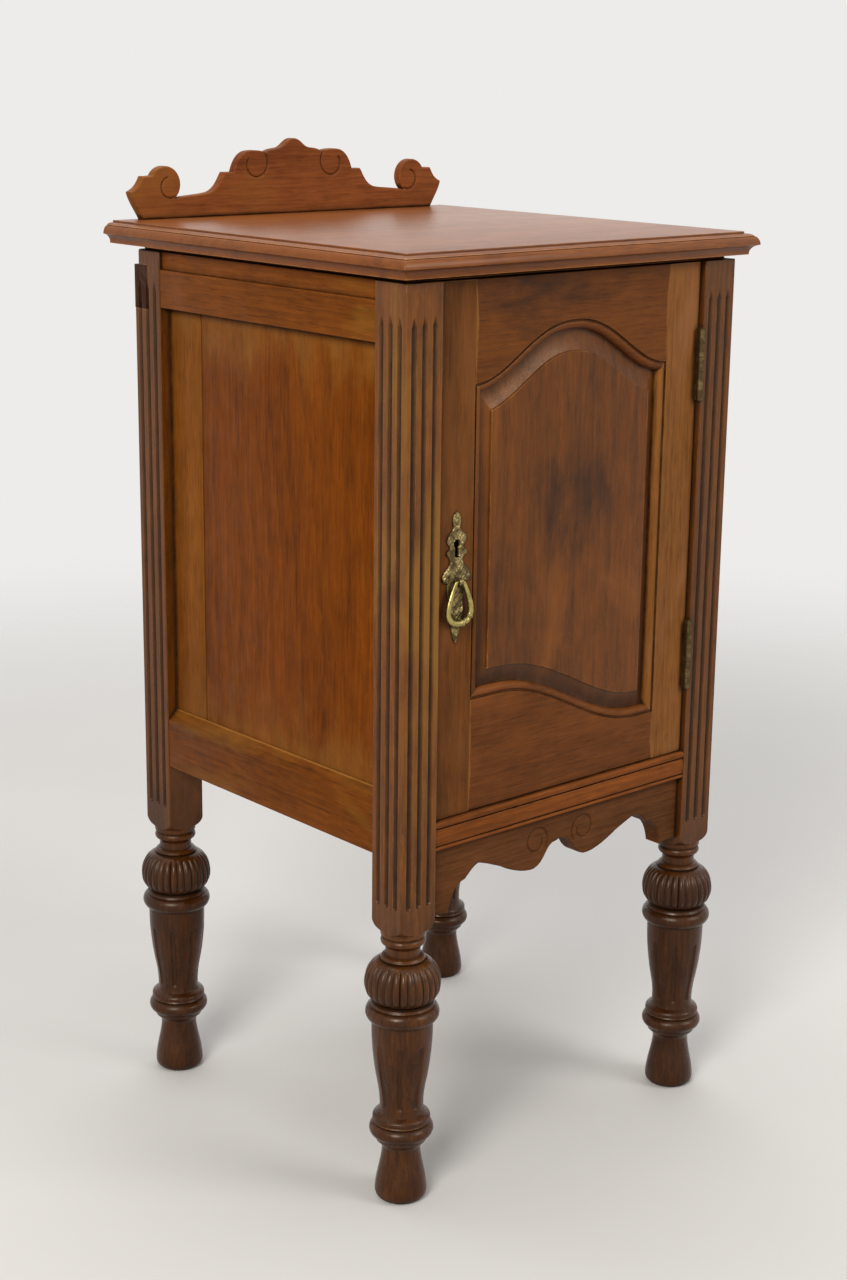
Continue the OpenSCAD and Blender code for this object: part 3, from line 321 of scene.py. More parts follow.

    # Wear: outer edges are rubbed 2 mm wide, dirt and painted shade lie where surfaces up to 6 mm
    # apart face each other, and the piece's own dirt and painted shade are added
    edge = add(tree, "ShaderNodeAmbientOcclusion", {"Distance": 0.0018}, samples=8, inside=True)
    edge = add(tree, "ShaderNodeMath", {0: 1.0, 1: edge.outputs["AO"]}, operation="SUBTRACT")
    scuff = add(tree, "ShaderNodeTexNoise", {"Vector": place, "Scale": 90.0, "Detail": 4.0})
    edge = add(tree, "ShaderNodeMath", {0: edge, 1: scuff}, operation="MULTIPLY")
    edge = add(tree, "ShaderNodeMapRange", {"Value": edge, "From Min": 0.11, "From Max": 0.30,
               "To Max": 0.8 if rub else 0.0})
    layers.append((edge, rub or light))
    soot = add(tree, "ShaderNodeTexNoise", {"Vector": place, "Scale": 55.0, "Detail": 5.0, "Roughness": 0.6})
    share = add(tree, "ShaderNodeMath", {0: soot, 1: 1.1, 2: 0.25}, operation="MULTIPLY_ADD")
    broken = add(tree, "ShaderNodeMath", {0: share, 1: 0.45, 2: 0.55}, operation="MULTIPLY_ADD",
                 use_clamp=True)
    # Painted shade and dirt: darker where surfaces up to 6 mm apart face each other
    hollow = add(tree, "ShaderNodeAmbientOcclusion", {"Distance": 0.006}, samples=8)
    hollow = add(tree, "ShaderNodeMapRange", {"Value": hollow.outputs["AO"], "From Min": 0.90,
                 "From Max": 0.58, "To Max": grime_and_shade})
    hollow = add(tree, "ShaderNodeMath", {0: hollow, 1: share}, operation="MULTIPLY", use_clamp=True)
    own = add(tree, "ShaderNodeAttribute", attribute_name="dirt").outputs["Fac"]
    own = add(tree, "ShaderNodeMath", {0: broken, 1: own}, operation="MULTIPLY")
    # The painted shade and dirt from the hollows and from the piece's own attribute, laid on in the dirt
    # colour
    dirt_and_shade = add(tree, "ShaderNodeMath", {0: hollow, 1: own}, operation="MAXIMUM")
    layers.append((dirt_and_shade, dirt))

    # Gloss: waxed where clean, dull where the dirt and painted shade lie. The skin sinks a little into each
    # pore
    gloss = add(tree, "ShaderNodeMapRange", {"Value": soot, "From Min": 0.3, "From Max": 0.7,
                "To Min": rough - 0.07 * uneven, "To Max": rough + 0.12 * uneven})
    gloss = add(tree, "ShaderNodeMath", {0: dirt_and_shade, 1: 0.3, 2: gloss}, operation="MULTIPLY_ADD")
    skin = add(tree, "ShaderNodeMath", {0: pores, 1: -0.7, 2: fibre}, operation="MULTIPLY_ADD")
    bump = add(tree, "ShaderNodeBump", {"Height": skin, "Strength": relief_bump, "Distance": 0.0004})
    plug(shader, {"Base Color": layered(tree, light, layers), "Roughness": gloss, "Normal": bump,
                  "Specular IOR Level": shine, "Specular Tint": linear(varnish)})
    return made


# %% Metal
def metal(name, bright, dull, dirt="#241A10", rough=0.34, tarnish=0.5, seed=0.0, scratched=0.15):
    """A bare metal whose high places are bright and whose hollows keep old polish and dirt."""
    made, tree, shader, place = new_finish(name)
    moved = add(tree, "ShaderNodeMapping", {"Vector": place, "Location": (seed, seed * 0.6, seed * 1.7)})
    # Tarnish in clouds about 8 mm wide
    cloud = add(tree, "ShaderNodeTexNoise", {"Vector": moved, "Scale": 120.0, "Detail": 6.0,
                "Roughness": 0.68})
    cloud = add(tree, "ShaderNodeMapRange", {"Value": cloud, "From Min": 0.62 - 0.4 * tarnish,
                "From Max": 0.80 - 0.4 * tarnish})
    hollow = add(tree, "ShaderNodeAmbientOcclusion", {"Distance": 0.005}, samples=8)
    hollow = add(tree, "ShaderNodeMapRange", {"Value": hollow.outputs["AO"], "From Min": 0.9,
                 "From Max": 0.4, "To Max": 0.85})
    gloss = rough
    for share, weight in ((cloud, 0.16), (hollow, 0.3)):
        gloss = add(tree, "ShaderNodeMath", {0: share, 1: weight, 2: gloss}, operation="MULTIPLY_ADD")
    scratch = add(tree, "ShaderNodeTexNoise", {"Vector": moved, "Scale": 900.0, "Detail": 3.0})
    bump = add(tree, "ShaderNodeBump", {"Height": scratch, "Strength": scratched, "Distance": 0.0002})
    plug(shader, {"Base Color": layered(tree, bright, [(cloud, dull), (hollow, dirt)]), "Metallic": 1.0,
                  "Roughness": gloss, "Normal": bump})
    return made


# %% The cupboard's finishes
# French polish (shellac rubbed on in many thin coats) over stained beech: a clear, nearly smooth
# skin that mirrors the wall softly. It has gone patchy and red, and the cups have worn it evenly.
TOP_POLISH = wood("worn red french polish", "X", "#925626", "#683818", 3.1, rub="#B87A42",
                  rough=0.33, spacing=9, pith=(0.05, -0.62), grime_and_shade=0.5, shine=0.30,
                  relief_bump=0.0, patches="#82471E", uneven=0.2, varnish="#F4E6DC")
# The same polish on the sawn and carved gallery, duller from dust and wax
GALLERY_WAX = wood("waxed carving", "X", "#8E5028", "#5E2E14", 7.3, rub="#B07638", rough=0.40,
                   spacing=8, varnish="#F4DCC4", patches="#8A5626")
# Walnut stain over beech on the posts, then wax: brown gives the eye a soft shine and paler,
# rubbed corners. Everything below 262 mm is made darker, fading over 75 mm.
POST_SKIN = dict(rough=0.27, spacing=6, shine=0.32, varnish="#F5EADC", legs=(0.262, 0.075, "#280F03"))
# The front left post's copy is lighter: painted light for the window's light falling on it
POST_PAINTED_LIGHT = wood("waxed post, sunny side", "Z", "#8C531C", "#522C0C", 1.9, rub="#B47E40",
                 patches="#946824", **POST_SKIN)
POST_WAX = wood("waxed post", "Z", "#7A4616", "#46270B", 5.2, rub="#9C662E", **POST_SKIN)
RAIL_X = wood("waxed front rail", "X", "#985628", "#623616", 2.6, rub="#B07A40", rough=0.40)
RAIL_Y = wood("waxed side rail", "Y", "#8A4C18", "#582E0A", 4.4, rub="#A87032", rough=0.42,
              patches="#926424")
# The sides are two boards sawn near the heart; damp has bleached their ends in streaks
SIDE_A = wood("side board, front", "Z", "#8E4908", "#5A2A00", 6.1, rough=0.36, spacing=11,
              pith=(0.3, 0.10), ends=(0.370, 0.748, 0.033, "#96652A"))
SIDE_B = wood("side board, back", "Z", "#94581E", "#643810", 8.7, rough=0.36, spacing=10,
              pith=(0.3, -0.16), patches="#805020", ends=(0.370, 0.748, 0.03, "#865828"))
# The door is waxed beech too: the right stile has a lighter copy of the stiles' finish, painted
# light for the brighter light on the door's right side, and dark stains sit where something wet
# or hot once touched the top rail and the panel
DOOR_SKIN = dict(rough=0.36, shine=0.15)
STILE_WAX = wood("waxed stile", "Z", "#78461C", "#44260E", 9.4, rub="#94642F", patches="#80502A",
                 varnish="#F4D8B8", dirt="#261514", **DOOR_SKIN)
# A lighter copy of the stile's finish: painted light for the right side of the door
STILE_PAINTED_LIGHT = wood("waxed stile, painted lighter", "Z", "#94602E", "#643C1A", 3.7, rub="#A87A4A",
                  patches="#946440", **DOOR_SKIN)
DOOR_RAIL_WAX = wood("waxed door rail", "X", "#7C471E", "#522C12", 2.2, rub="#8E5E2C", streak=0.6,
                     patches="#8A5028", varnish="#F4D8B8",
                     stain=(-0.038, 0.782, 0.085, 0.034, "#2B1D17"), **DOOR_SKIN)
FIELD_WAX = wood("fielded panel", "Z", "#7C4412", "#462408", 5.9, rub="#B8844A", rough=0.25,
                 spacing=12, shine=0.32, varnish="#F4DCC2", pith=(0.02, 0.16), dirt="#281710",
                 patches="#90541E", stain=(0.016, 0.600, 0.072, 0.052, "#241008"))
CARVED_DARK = wood("dark carving", "X", "#724628", "#462A14", 3.8, rub="#8C5C34", rough=0.44,
                   grime_and_shade=0.8)
# A slip of darker wood let into the back post's corner, and the frame under the top, painted darker as the
# shade under the top's overhang
SHADOW_WOOD = wood("black-brown slip", "Z", "#523326", "#302018", 4.9, rough=0.5)
FRAME_PAINTED_SHADE = wood("dark frame under the top", "X", "#6E4220", "#442814", 1.2, rub="#8A5A2E",
                  rough=0.40, grime_and_shade=0.4)
# Inside, the wood was left bare: matt, paler and yellower than the stained outside
BARE = dict(rough=0.62, grime_and_shade=0.5)
INSIDE_X = wood("bare board", "X", "#906638", "#6A4620", 7.9, spacing=9, **BARE)
INSIDE_Z = wood("bare back board", "Z", "#885E30", "#603E1C", 6.6, spacing=9, **BARE)
INSIDE_Y = wood("bare cleat", "Y", "#966C3C", "#704A26", 3.3, **BARE)
# Brass, bare: cast and browned on the plate, rubbed yellow by hands on the ring, and rolled and
# never cleaned on the hinges. The lock and the screws are iron, dark with a thin brown rust.
PLATE_BRASS = metal("tarnished cast brass", "#9E8C5E", "#584A30", tarnish=0.6, seed=0.3)
BAIL_BRASS = metal("rubbed brass", "#B4A664", "#807246", dirt="#40341A", rough=0.26,
                   tarnish=0.45, seed=0.7, scratched=0.03)
HINGE_BRASS = metal("dull rolled brass", "#7E6A46", "#52422A", rough=0.46, tarnish=0.7, seed=1.3)
IRON = metal("dark iron", "#6A625A", "#3E3630", dirt="#1C1410", rough=0.5, tarnish=0.6, seed=2.1)
print("finishes:", len(bpy.data.materials))

# %% [markdown]
# ## Ways to make a piece
# A piece is a mesh made from points in millimetres. It rides on the body that carries it and
# stands for the CAD nodes it replaces. Plain boards are the CAD's own meshes with a small
# rounding on their edges.

# %% Building helpers
# Points closer than this are one point
MERGE = 0.004
BODY_OF = {node: body for body, nodes in frame["record"]["behaviour"]["bodies"].items() for node in nodes}


def from_bmesh(name, bm, material=None):
    """A new smooth object from a bmesh, which it frees."""
    for face in bm.faces:
        face.smooth = True
    mesh = bpy.data.meshes.new(name)
    bm.to_mesh(mesh)
    bm.free()
    if material:
        mesh.materials.append(material)
    return put_in_scene(name, mesh)


def stand_in(made, nodes, sharp):
    """Rides on the first node's body and replaces all the nodes. Edges that turn
    by more than sharp degrees are shaded as edges."""
    made.data.set_sharp_from_angle(angle=math.radians(sharp))
    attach(made, BODY_OF.get(nodes[0], "carcass"))
    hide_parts(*nodes)
    print(f"{made.name}: {len(made.data.polygons)} faces")
    return made


def piece(name, shape, material, nodes, sharp=38, dirt=()):
    """A new piece from (points in mm, faces) that replaces the CAD nodes named. dirt is a share
    from 0 to 1 for each point."""
    points, faces = shape
    bm = bmesh.new()
    layer = bm.verts.layers.float.new("dirt")
    verts = [bm.verts.new(p) for p in points]
    for vert, share in zip(verts, dirt):
        vert[layer] = float(share)
    for face in faces:
        bm.faces.new([verts[i] for i in face])
    bmesh.ops.remove_doubles(bm, verts=bm.verts, dist=MERGE)
    bmesh.ops.delete(bm, geom=[v for v in bm.verts if not v.link_faces], context="VERTS")
    bmesh.ops.recalc_face_normals(bm, faces=bm.faces)
    bmesh.ops.scale(bm, vec=(MM, MM, MM), verts=bm.verts)
    return stand_in(from_bmesh(name, bm, material), nodes, sharp)


def strip_faces(rows, columns, wrap=False, start=0):
    """Quads between rows of points; wrap joins each row's end to its start."""
    faces = []
    for r in range(rows - 1):
        for c in range(columns if wrap else columns - 1):
            a, b = start + r * columns + c, start + r * columns + (c + 1) % columns
            faces.append((a, b, b + columns, a + columns))
    return faces


def capped(rows, start=0):
    """Points and faces of a solid whose rows are closed loops; start is its first point's number."""
    count = len(rows[0])
    faces = strip_faces(len(rows), count, wrap=True, start=start)
    first, last = ([start + r * count + i for i in range(count)] for r in (0, len(rows) - 1))
    return [p for row in rows for p in row], faces + [tuple(first[::-1]), tuple(last)]


def bar(rows):
    """Points and faces of a bar: each point of its section makes a row along it."""
    count = len(rows[0])
    rows = rows + rows[:1]
    ends = [tuple(r * count + c for r in range(len(rows) - 1)) for c in (0, count - 1)]
    return [p for row in rows for p in row], strip_faces(len(rows), count) + ends


def bake(made):
    """Applies every modifier to the object's own mesh."""
    shown = bpy.context.evaluated_depsgraph_get()
    baked = bpy.data.meshes.new_from_object(made.evaluated_get(shown), depsgraph=shown)
    made.modifiers.clear()
    made.data = baked


# %% Plain boards with softened edges
# Facets that turn less than FLAT degrees are one face; edges over BEVELLED degrees are rounded
FLAT, BEVELLED = 1.5, 35


def cad_mesh(nodes):
    """A bmesh of CAD nodes on one body, in metres, with its doubled points joined."""
    bm = bmesh.new()
    for node in nodes:
        bm.from_mesh(frame["nodes"][node].data)
    bmesh.ops.transform(bm, matrix=frame["nodes"][nodes[0]].matrix_world, verts=bm.verts)
    bmesh.ops.remove_doubles(bm, verts=bm.verts, dist=0.02 * MM)
    return bm


def soften(name, material, *nodes, width=0.7):
    """Copies CAD nodes, rounds their edges of 3 mm and more, and stands in for them."""
    bm = cad_mesh(nodes)
    bmesh.ops.dissolve_limit(bm, angle_limit=math.radians(FLAT), verts=bm.verts, edges=bm.edges)
    sharp = [e for e in bm.edges if len(e.link_faces) == 2
             and e.calc_face_angle() > math.radians(BEVELLED) and e.calc_length() > 3 * MM]
    bmesh.ops.bevel(bm, geom=sharp, offset=width * MM, segments=2, profile=0.6, affect="EDGES",
                    clamp_overlap=True)
    stand_in(from_bmesh(f"{name}_soft", bm, material), nodes, sharp=40)


for side in ("left", "right"):
    soften(f"top_rail_{side}", RAIL_Y, f"side_top_rail_{side}")
    soften(f"bottom_rail_{side}", RAIL_Y, f"side_bottom_rail_{side}")
    soften(f"front_board_{side}", SIDE_A, f"side_front_board_{side}", width=1.5)
    soften(f"back_board_{side}", SIDE_B, f"side_back_board_{side}", width=1.5)
soften("front_top_rail", RAIL_X, "front_top_rail")
soften("back_rails", INSIDE_X, "back_top_rail", "back_bottom_rail")
soften("back_boards", INSIDE_Z, "back_boards", width=0.5)
soften("bottom_board", INSIDE_X, "bottom_board")
soften("shelf", INSIDE_X, "shelf")
soften("repair_slip", SHADOW_WOOD, "repair_slip", width=0.4)

# %% Finishes for the metal parts and for what stays as the CAD made it
DRESS = {INSIDE_X: "door_stop", INSIDE_Z: "gallery_dowels",
         INSIDE_Y: "top_blocks bottom_cleats shelf_cleats",
         IRON: "top_screws cleat_screws lock_screws lock_case lock_cap lock_bolt",
         HINGE_BRASS: "hinge_door_leaves hinge_post_leaves hinge_pins hinge_door_screws hinge_post_screws",
         PLATE_BRASS: "handle_plate handle_post plate_pins", BAIL_BRASS: "bail"}
for finish, nodes in DRESS.items():
    for node in nodes.split():
        for held in frame["nodes"][node].material_slots:
            held.material = finish

# %% [markdown]
# ## Curves
# The maker would have drawn these shapes with a compass and a bent lath. Here arcs and smooth
# curves do the same, in the same places as on the CAD model.

# %% Arcs, curves and offsets
def arc(cx, cy, r, a, b, n=12):
    angles = np.radians(np.linspace(a, b, n + 1))
    return np.column_stack([cx + r * np.cos(angles), cy + r * np.sin(angles)])


def curve(p, u, v, q, n=14):
    t = np.linspace(0, 1, n + 1)[:, None]
    s = 1 - t
    return s**3 * np.array(p) + 3 * s * s * t * np.array(u) + 3 * s * t * t * np.array(v) + t**3 * np.array(q)


def joined(*runs):
    """One line through all the runs, without points that lie on top of each other."""
    points = np.vstack([np.atleast_2d(np.array(run, float)) for run in runs])
    keep = [0]
    for i in range(1, len(points)):
        if np.hypot(*(points[i] - points[keep[-1]])) > 0.05:
            keep.append(i)
    return points[keep]


def resampled(points, step):
    """Adds points so that none are further apart than step; the corners stay."""
    out = [points[0]]
    for a, b in zip(points[:-1], points[1:]):
        count = max(1, int(math.ceil(np.hypot(*(b - a)) / step)))
        out += [a + (b - a) * k / count for k in range(1, count + 1)]
    return np.array(out)


# %% [markdown]
# ## Posts and legs
# Each post is one stick of wood: square and fluted above, then turned in a lathe below. The
# turner cut the ball and the vase round, and the carver then cut 28 gadroons into the ball and
# eight flutes into the vase. The script works in the same order: numpy turns the stick, and two
# Geometry Nodes trees do the carver's work on it. Real flutes were cut with a gouge down a
# scratched line, so they end in a round below and run out to a point above.

# %% Section of the turned leg
# (radius, height) from the floor up: foot, ankle with its ring, vase, ball and neck
LEG = joined(
    [[0, 0], [15, 0]],
    curve([15, 0], [20, 0.5], [22.8, 3], [22.8, 8]),
    curve([22.8, 8], [22.6, 20], [17.6, 34], [16.8, 46]),
    [[17, 50], [18.5, 53], [22, 56]],
    arc(21, 66.5, 7, -70, 68, 16),
    [[25.3, 74.5]],
    arc(21.6, 77.5, 3.6, -30, 60, 8),
    curve([19.8, 82.5], [18.2, 86], [19, 100], [21.6, 112]),
    curve([21.6, 112], [24.4, 126], [26.5, 145], [26.5, 162]),
    arc(24, 176, 8, -72, 45, 14),
    [[27.6, 182.5], [28, 183.5], [27, 185.5], [24.5, 186.8], [20.5, 186.8]],
    curve([23.5, 187.5], [30, 189], [33, 196], [33, 203]),
    curve([33, 203], [33, 213], [28, 222], [20.5, 224]),
    [[18.5, 224], [19.5, 226], [18, 228], [15, 229], [15, 236]],
    arc(15.4, 241.8, 3.9, -70, 60, 10),
    [[18, 247], [19.3, 247.5], [19.4, 251]],
    curve([19.4, 251], [20.5, 253], [26.3, 252], [27.3, 263]))
# The lathe worked below this height; above it the stick's square sides cut the turned form
LATHE_TOP, TURNED_STEP = 251.0, 1.6
print("points down the leg:", len(LEG))

# %% The stick
FLUTE_PITCH, FLUTE_W, FLUTE_DEPTH, FLUTE_LOW, FLUTE_HIGH = 11.0, 4.8, 2.1, 275.0, 771.0
CORNER_R, FACE_POINTS, CORNER_POINTS = 1.1, 69, 4
# The notch for the repair slip: how deep it goes in from the side, and how far along the back,
# from its foot to the step and above that
NOTCH_FOOT, NOTCH_STEP, NOTCH_DEEP, NOTCH_LONG, NOTCH_SHORT = 744.0, 783.0, 5.5, 20.0, 6.5


def post_ring():
    """(face, x, y, turn) of each point round a square post: x and y as seen from the face's own
    side, turn the quarter turns to it in radians. The rounded corners are on face -1."""
    h, flat = POST_W / 2, POST_W / 2 - CORNER_R
    ring = []
    for face in range(4):
        turn = face * math.pi / 2
        ring += [(face, s, -h, turn) for s in np.linspace(-flat, flat, FACE_POINTS)]
        for k in range(1, CORNER_POINTS):
            a = math.pi / 2 * k / CORNER_POINTS
            ring.append((-1, flat + CORNER_R * math.sin(a), -flat - CORNER_R * math.cos(a), turn))
    return ring


def turned(x, y, turn):
    return x * math.cos(turn) - y * math.sin(turn), x * math.sin(turn) + y * math.cos(turn)


def flute_cut(s, z):
    """Depth of the three flutes at s across the face and height z."""
    depth = 0.0
    for middle in (-FLUTE_PITCH, 0.0, FLUTE_PITCH):
        half = FLUTE_W / 2
        if z > FLUTE_HIGH - 2 * FLUTE_W:
            half *= max(0.0, (FLUTE_HIGH - z) / (2 * FLUTE_W))
        off = abs(s - middle)
        if z < FLUTE_LOW + FLUTE_W / 2:
            off = math.hypot(off, FLUTE_LOW + FLUTE_W / 2 - z)
        if half > 0 and off < half:
            share = off / half
            depth = max(depth, FLUTE_DEPTH * (half / (FLUTE_W / 2)) * (math.sqrt(1 - share * share * 0.96)))
    return depth


def post_heights():
    """Heights of the square part's rows: close together where the flutes and the notch end, and
    100 mm apart between."""
    return [FLUTE_LOW - 2, FLUTE_LOW - 0.1, *np.linspace(FLUTE_LOW, FLUTE_LOW + FLUTE_W / 2, 7),
            *range(300, 701, 100), NOTCH_FOOT - 2, NOTCH_FOOT - 0.05, NOTCH_FOOT + 0.05, 760,
            *np.linspace(FLUTE_HIGH - 2 * FLUTE_W, FLUTE_HIGH, 12), FLUTE_HIGH + 0.3,
            NOTCH_STEP - 0.05, NOTCH_STEP + 0.05, POST_TOP - 0.5, POST_TOP]


def stick(x_side, y_side, fluted, notch):
    """Rows of points and the dirt and painted shade of a post about its own axis, before the carver's work.
    """
    ring = post_ring()
    h = POST_W / 2
    rows, dirt_and_shade = [], []
    for r, z in resampled(LEG[1:], TURNED_STEP):
        row = []
        for _, s, d, turn in ring:
            x, y = turned(s, d, turn)
            length = math.hypot(x, y)
            reach = r if z <= LATHE_TOP else min(r, length)
            row.append((x / length * reach, y / length * reach, z))
        rows.append(row)
        dirt_and_shade += [0.0] * len(ring)
    for z in post_heights():
        row = []
        inset = 0.5 if z == POST_TOP else 0.0
        along = NOTCH_LONG if z < NOTCH_STEP else NOTCH_SHORT
        for face, s, d, turn in ring:
            cut = flute_cut(s, z) if face in fluted else 0.0
            x, y = turned(s, d + cut + inset, turn)
            if notch and z > NOTCH_FOOT and x * x_side > h - NOTCH_DEEP and y * y_side > h - along:
                x = x_side * (h - NOTCH_DEEP)
            row.append((x, y, z))
            # Dirt and painted shade in the flutes, darkest where they cut deepest
            dirt_and_shade.append(min(1.0, 1.15 * cut / FLUTE_DEPTH))
        rows.append(row)
    return rows, dirt_and_shade


# %% [markdown]
# The carver's work: both trees move points straight towards the leg's axis. The gadroons are
# lobes of a cosine, sharp between and round on top; each flute has a round section that dies
# out at its two ends.

# %% Carving trees
def new_tree(name, **inputs):
    """A tree with a geometry in and out and the inputs named, _ for a space: kind of socket."""
    tree = bpy.data.node_groups.new(name, "GeometryNodeTree")
    tree.interface.new_socket(name="Geometry", in_out="INPUT", socket_type="NodeSocketGeometry")
    for label, kind in inputs.items():
        tree.interface.new_socket(name=label.replace("_", " "), in_out="INPUT",
                                  socket_type=f"NodeSocket{kind}")
    tree.interface.new_socket(name="Geometry", in_out="OUTPUT", socket_type="NodeSocketGeometry")
    return tree, tree.nodes.new("NodeGroupInput").outputs


def finish_tree(tree, shape, finish):
    """Every tree ends with real geometry that carries its finish."""
    real = add(tree, "GeometryNodeRealizeInstances", {0: shape})
    made = add(tree, "GeometryNodeSetMaterial", {"Geometry": real, "Material": finish})
    add(tree, "NodeGroupOutput", {0: made})
    return tree


def polar_parts(tree, axis):
    """Direction from the axis, angle round it, distance from it and height, as outputs."""
    spot = add(tree, "GeometryNodeInputPosition")
    from_axis = add(tree, "ShaderNodeVectorMath", {0: spot, 1: axis}, operation="SUBTRACT")
    x, y, z = add(tree, "ShaderNodeSeparateXYZ", {0: from_axis}).outputs
    flat = add(tree, "ShaderNodeCombineXYZ", {0: x, 1: y})
    out = add(tree, "ShaderNodeVectorMath", {0: flat}, operation="NORMALIZE")
    radius = add(tree, "ShaderNodeVectorMath", {0: flat}, operation="LENGTH").outputs["Value"]
    return out, add(tree, "ShaderNodeMath", {0: y, 1: x}, operation="ARCTAN2"), radius, z


def push_in(tree, given, out, share):
    """Moves the points towards the axis by a share of the depth, and notes the dirt and painted shade they
    hold.
    """
    held = add(tree, "GeometryNodeInputNamedAttribute", {"Name": "dirt"}, data_type="FLOAT")
    dirt_and_shade = add(tree, "ShaderNodeMath", {0: share, 1: given["Dirt"]}, operation="MULTIPLY")
    dirt_and_shade = add(tree, "ShaderNodeMath", {0: held, 1: dirt_and_shade}, operation="MAXIMUM")
    noted = add(tree, "GeometryNodeStoreNamedAttribute", {"Geometry": given["Geometry"], "Name": "dirt",
                "Value": dirt_and_shade}, data_type="FLOAT", domain="POINT")
    for factor in (given["Depth"], -1.0):
        share = add(tree, "ShaderNodeMath", {0: share, 1: factor}, operation="MULTIPLY")
    move = add(tree, "ShaderNodeVectorMath", {0: out, "Scale": share}, operation="SCALE")
    moved = add(tree, "GeometryNodeSetPosition", {"Geometry": noted, "Offset": move})
    return finish_tree(tree, moved, given["Finish"])


def carve_gadroons():
    """Lobes round the axis, between the heights Low and High."""
    tree, given = new_tree("carve gadroons", Axis="Vector", Lobes="Float", Depth="Float", Low="Float",
                           High="Float", Dirt="Float", Finish="Material")
    out, valley, _, height = polar_parts(tree, given["Axis"])
    for operation, other in (("MULTIPLY", given["Lobes"]), ("MULTIPLY", 0.5), ("COSINE", 0.0),
                             ("ABSOLUTE", 0.0), ("POWER", 0.55)):
        valley = add(tree, "ShaderNodeMath", {0: valley, 1: other}, operation=operation)
    valley = add(tree, "ShaderNodeMath", {0: 1.0, 1: valley}, operation="SUBTRACT")
    for end, ramp in (("Low", 0.004), ("High", -0.005)):
        whole = add(tree, "ShaderNodeMath", {0: given[end], 1: ramp}, operation="ADD")
        window = add(tree, "ShaderNodeMapRange", {"Value": height, "From Min": given[end], "From Max": whole},
                     interpolation_type="SMOOTHSTEP")
        valley = add(tree, "ShaderNodeMath", {0: valley, 1: window}, operation="MULTIPLY")
    return push_in(tree, given, out, valley)


def carve_flutes():
    """Upright grooves round the axis. Straight is half the height between their rounded ends."""
    tree, given = new_tree("carve flutes", Axis="Vector", Count="Float", Half_Width="Float", Depth="Float",
                           Middle="Float", Straight="Float", Dirt="Float", Finish="Material")
    out, angle, radius, height = polar_parts(tree, given["Axis"])
    sector = add(tree, "ShaderNodeMath", {0: math.pi, 1: given["Count"]}, operation="DIVIDE")
    turn = add(tree, "ShaderNodeMath", {0: angle, 1: sector}, operation="PINGPONG")
    across = add(tree, "ShaderNodeMath", {0: turn, 1: radius}, operation="MULTIPLY")
    past = height
    for operation, other in (("SUBTRACT", given["Middle"]), ("ABSOLUTE", 0.0),
                             ("SUBTRACT", given["Straight"]), ("MAXIMUM", 0.0)):
        past = add(tree, "ShaderNodeMath", {0: past, 1: other}, operation=operation)
    far = add(tree, "ShaderNodeCombineXYZ", {0: across, 1: past})
    cut = add(tree, "ShaderNodeVectorMath", {0: far}, operation="LENGTH").outputs["Value"]
    # A round section: the root of 1 less the square of the share of the half width
    for operation, other in (("DIVIDE", given["Half Width"]), ("POWER", 2.0), ("MULTIPLY", -1.0),
                             ("ADD", 1.0), ("MAXIMUM", 0.0), ("SQRT", 0.0)):
        cut = add(tree, "ShaderNodeMath", {0: cut, 1: other}, operation=operation)
    return push_in(tree, given, out, cut)


def grow(made, tree, **values):
    """Runs a tree on an object. Names of values are the tree's input names, _ for a space."""
    modifier = made.modifiers.new(tree.name, "NODES")
    modifier.node_group = tree
    for item in tree.interface.items_tree:
        if item.in_out == "INPUT" and item.name.replace(" ", "_") in values:
            modifier[item.identifier] = values[item.name.replace(" ", "_")]
    bake(made)


# %% Posts
GADROONS, VASE_FLUTES = carve_gadroons(), carve_flutes()
# Heights and sizes of the carving, in metres
# The gadroons' valleys and the vase's flutes hold dirt and painted shade, as a share of their depth
BALL = dict(Lobes=28.0, Depth=0.0025, Low=0.1885, High=0.2235, Dirt=0.9)
VASE = dict(Count=8.0, Depth=0.0015, Half_Width=0.0024, Middle=0.1195, Straight=0.0281, Dirt=0.35)
for y_name, y_side in (("front", -1), ("back", 1)):
    for x_name, x_side in (("left", -1), ("right", 1)):
        node = f"post_{y_name}_{x_name}"
        # The front left post takes the lighter copy of the post finish, painted light
        finish = POST_PAINTED_LIGHT if node == "post_front_left" else POST_WAX
        cx, cy = x_side * POST_X, (FRONT_Y + BACK_Y) / 2 + y_side * (BACK_Y - FRONT_Y - POST_W) / 2
        fluted = {2 - x_side} | ({0} if y_side < 0 else set())
        rows, dirt_and_shade = stick(x_side, y_side, fluted, notch=node == "post_back_left")
        rows = [[(x + cx, y + cy, z) for x, y, z in row] for row in rows]
        post = piece(f"{node}_carved", capped(rows), finish, [node], dirt=dirt_and_shade)
        grow(post, GADROONS, Axis=(cx * MM, cy * MM, 0), Finish=finish, **BALL)
        grow(post, VASE_FLUTES, Axis=(cx * MM, cy * MM, 0), Finish=finish, **VASE)
        post.data.set_sharp_from_angle(angle=math.radians(42))

# %% [markdown]
# ## Top
# The top is one board with its edge run by moulding planes on the front and both sides: a small
# step, an ovolo with a fine quirk round its middle and a cove below. The back edge, against the
# wall, is left square. The frame under it carries two fine beads.

# %% Moulded runs
CORNER_STEPS = 4


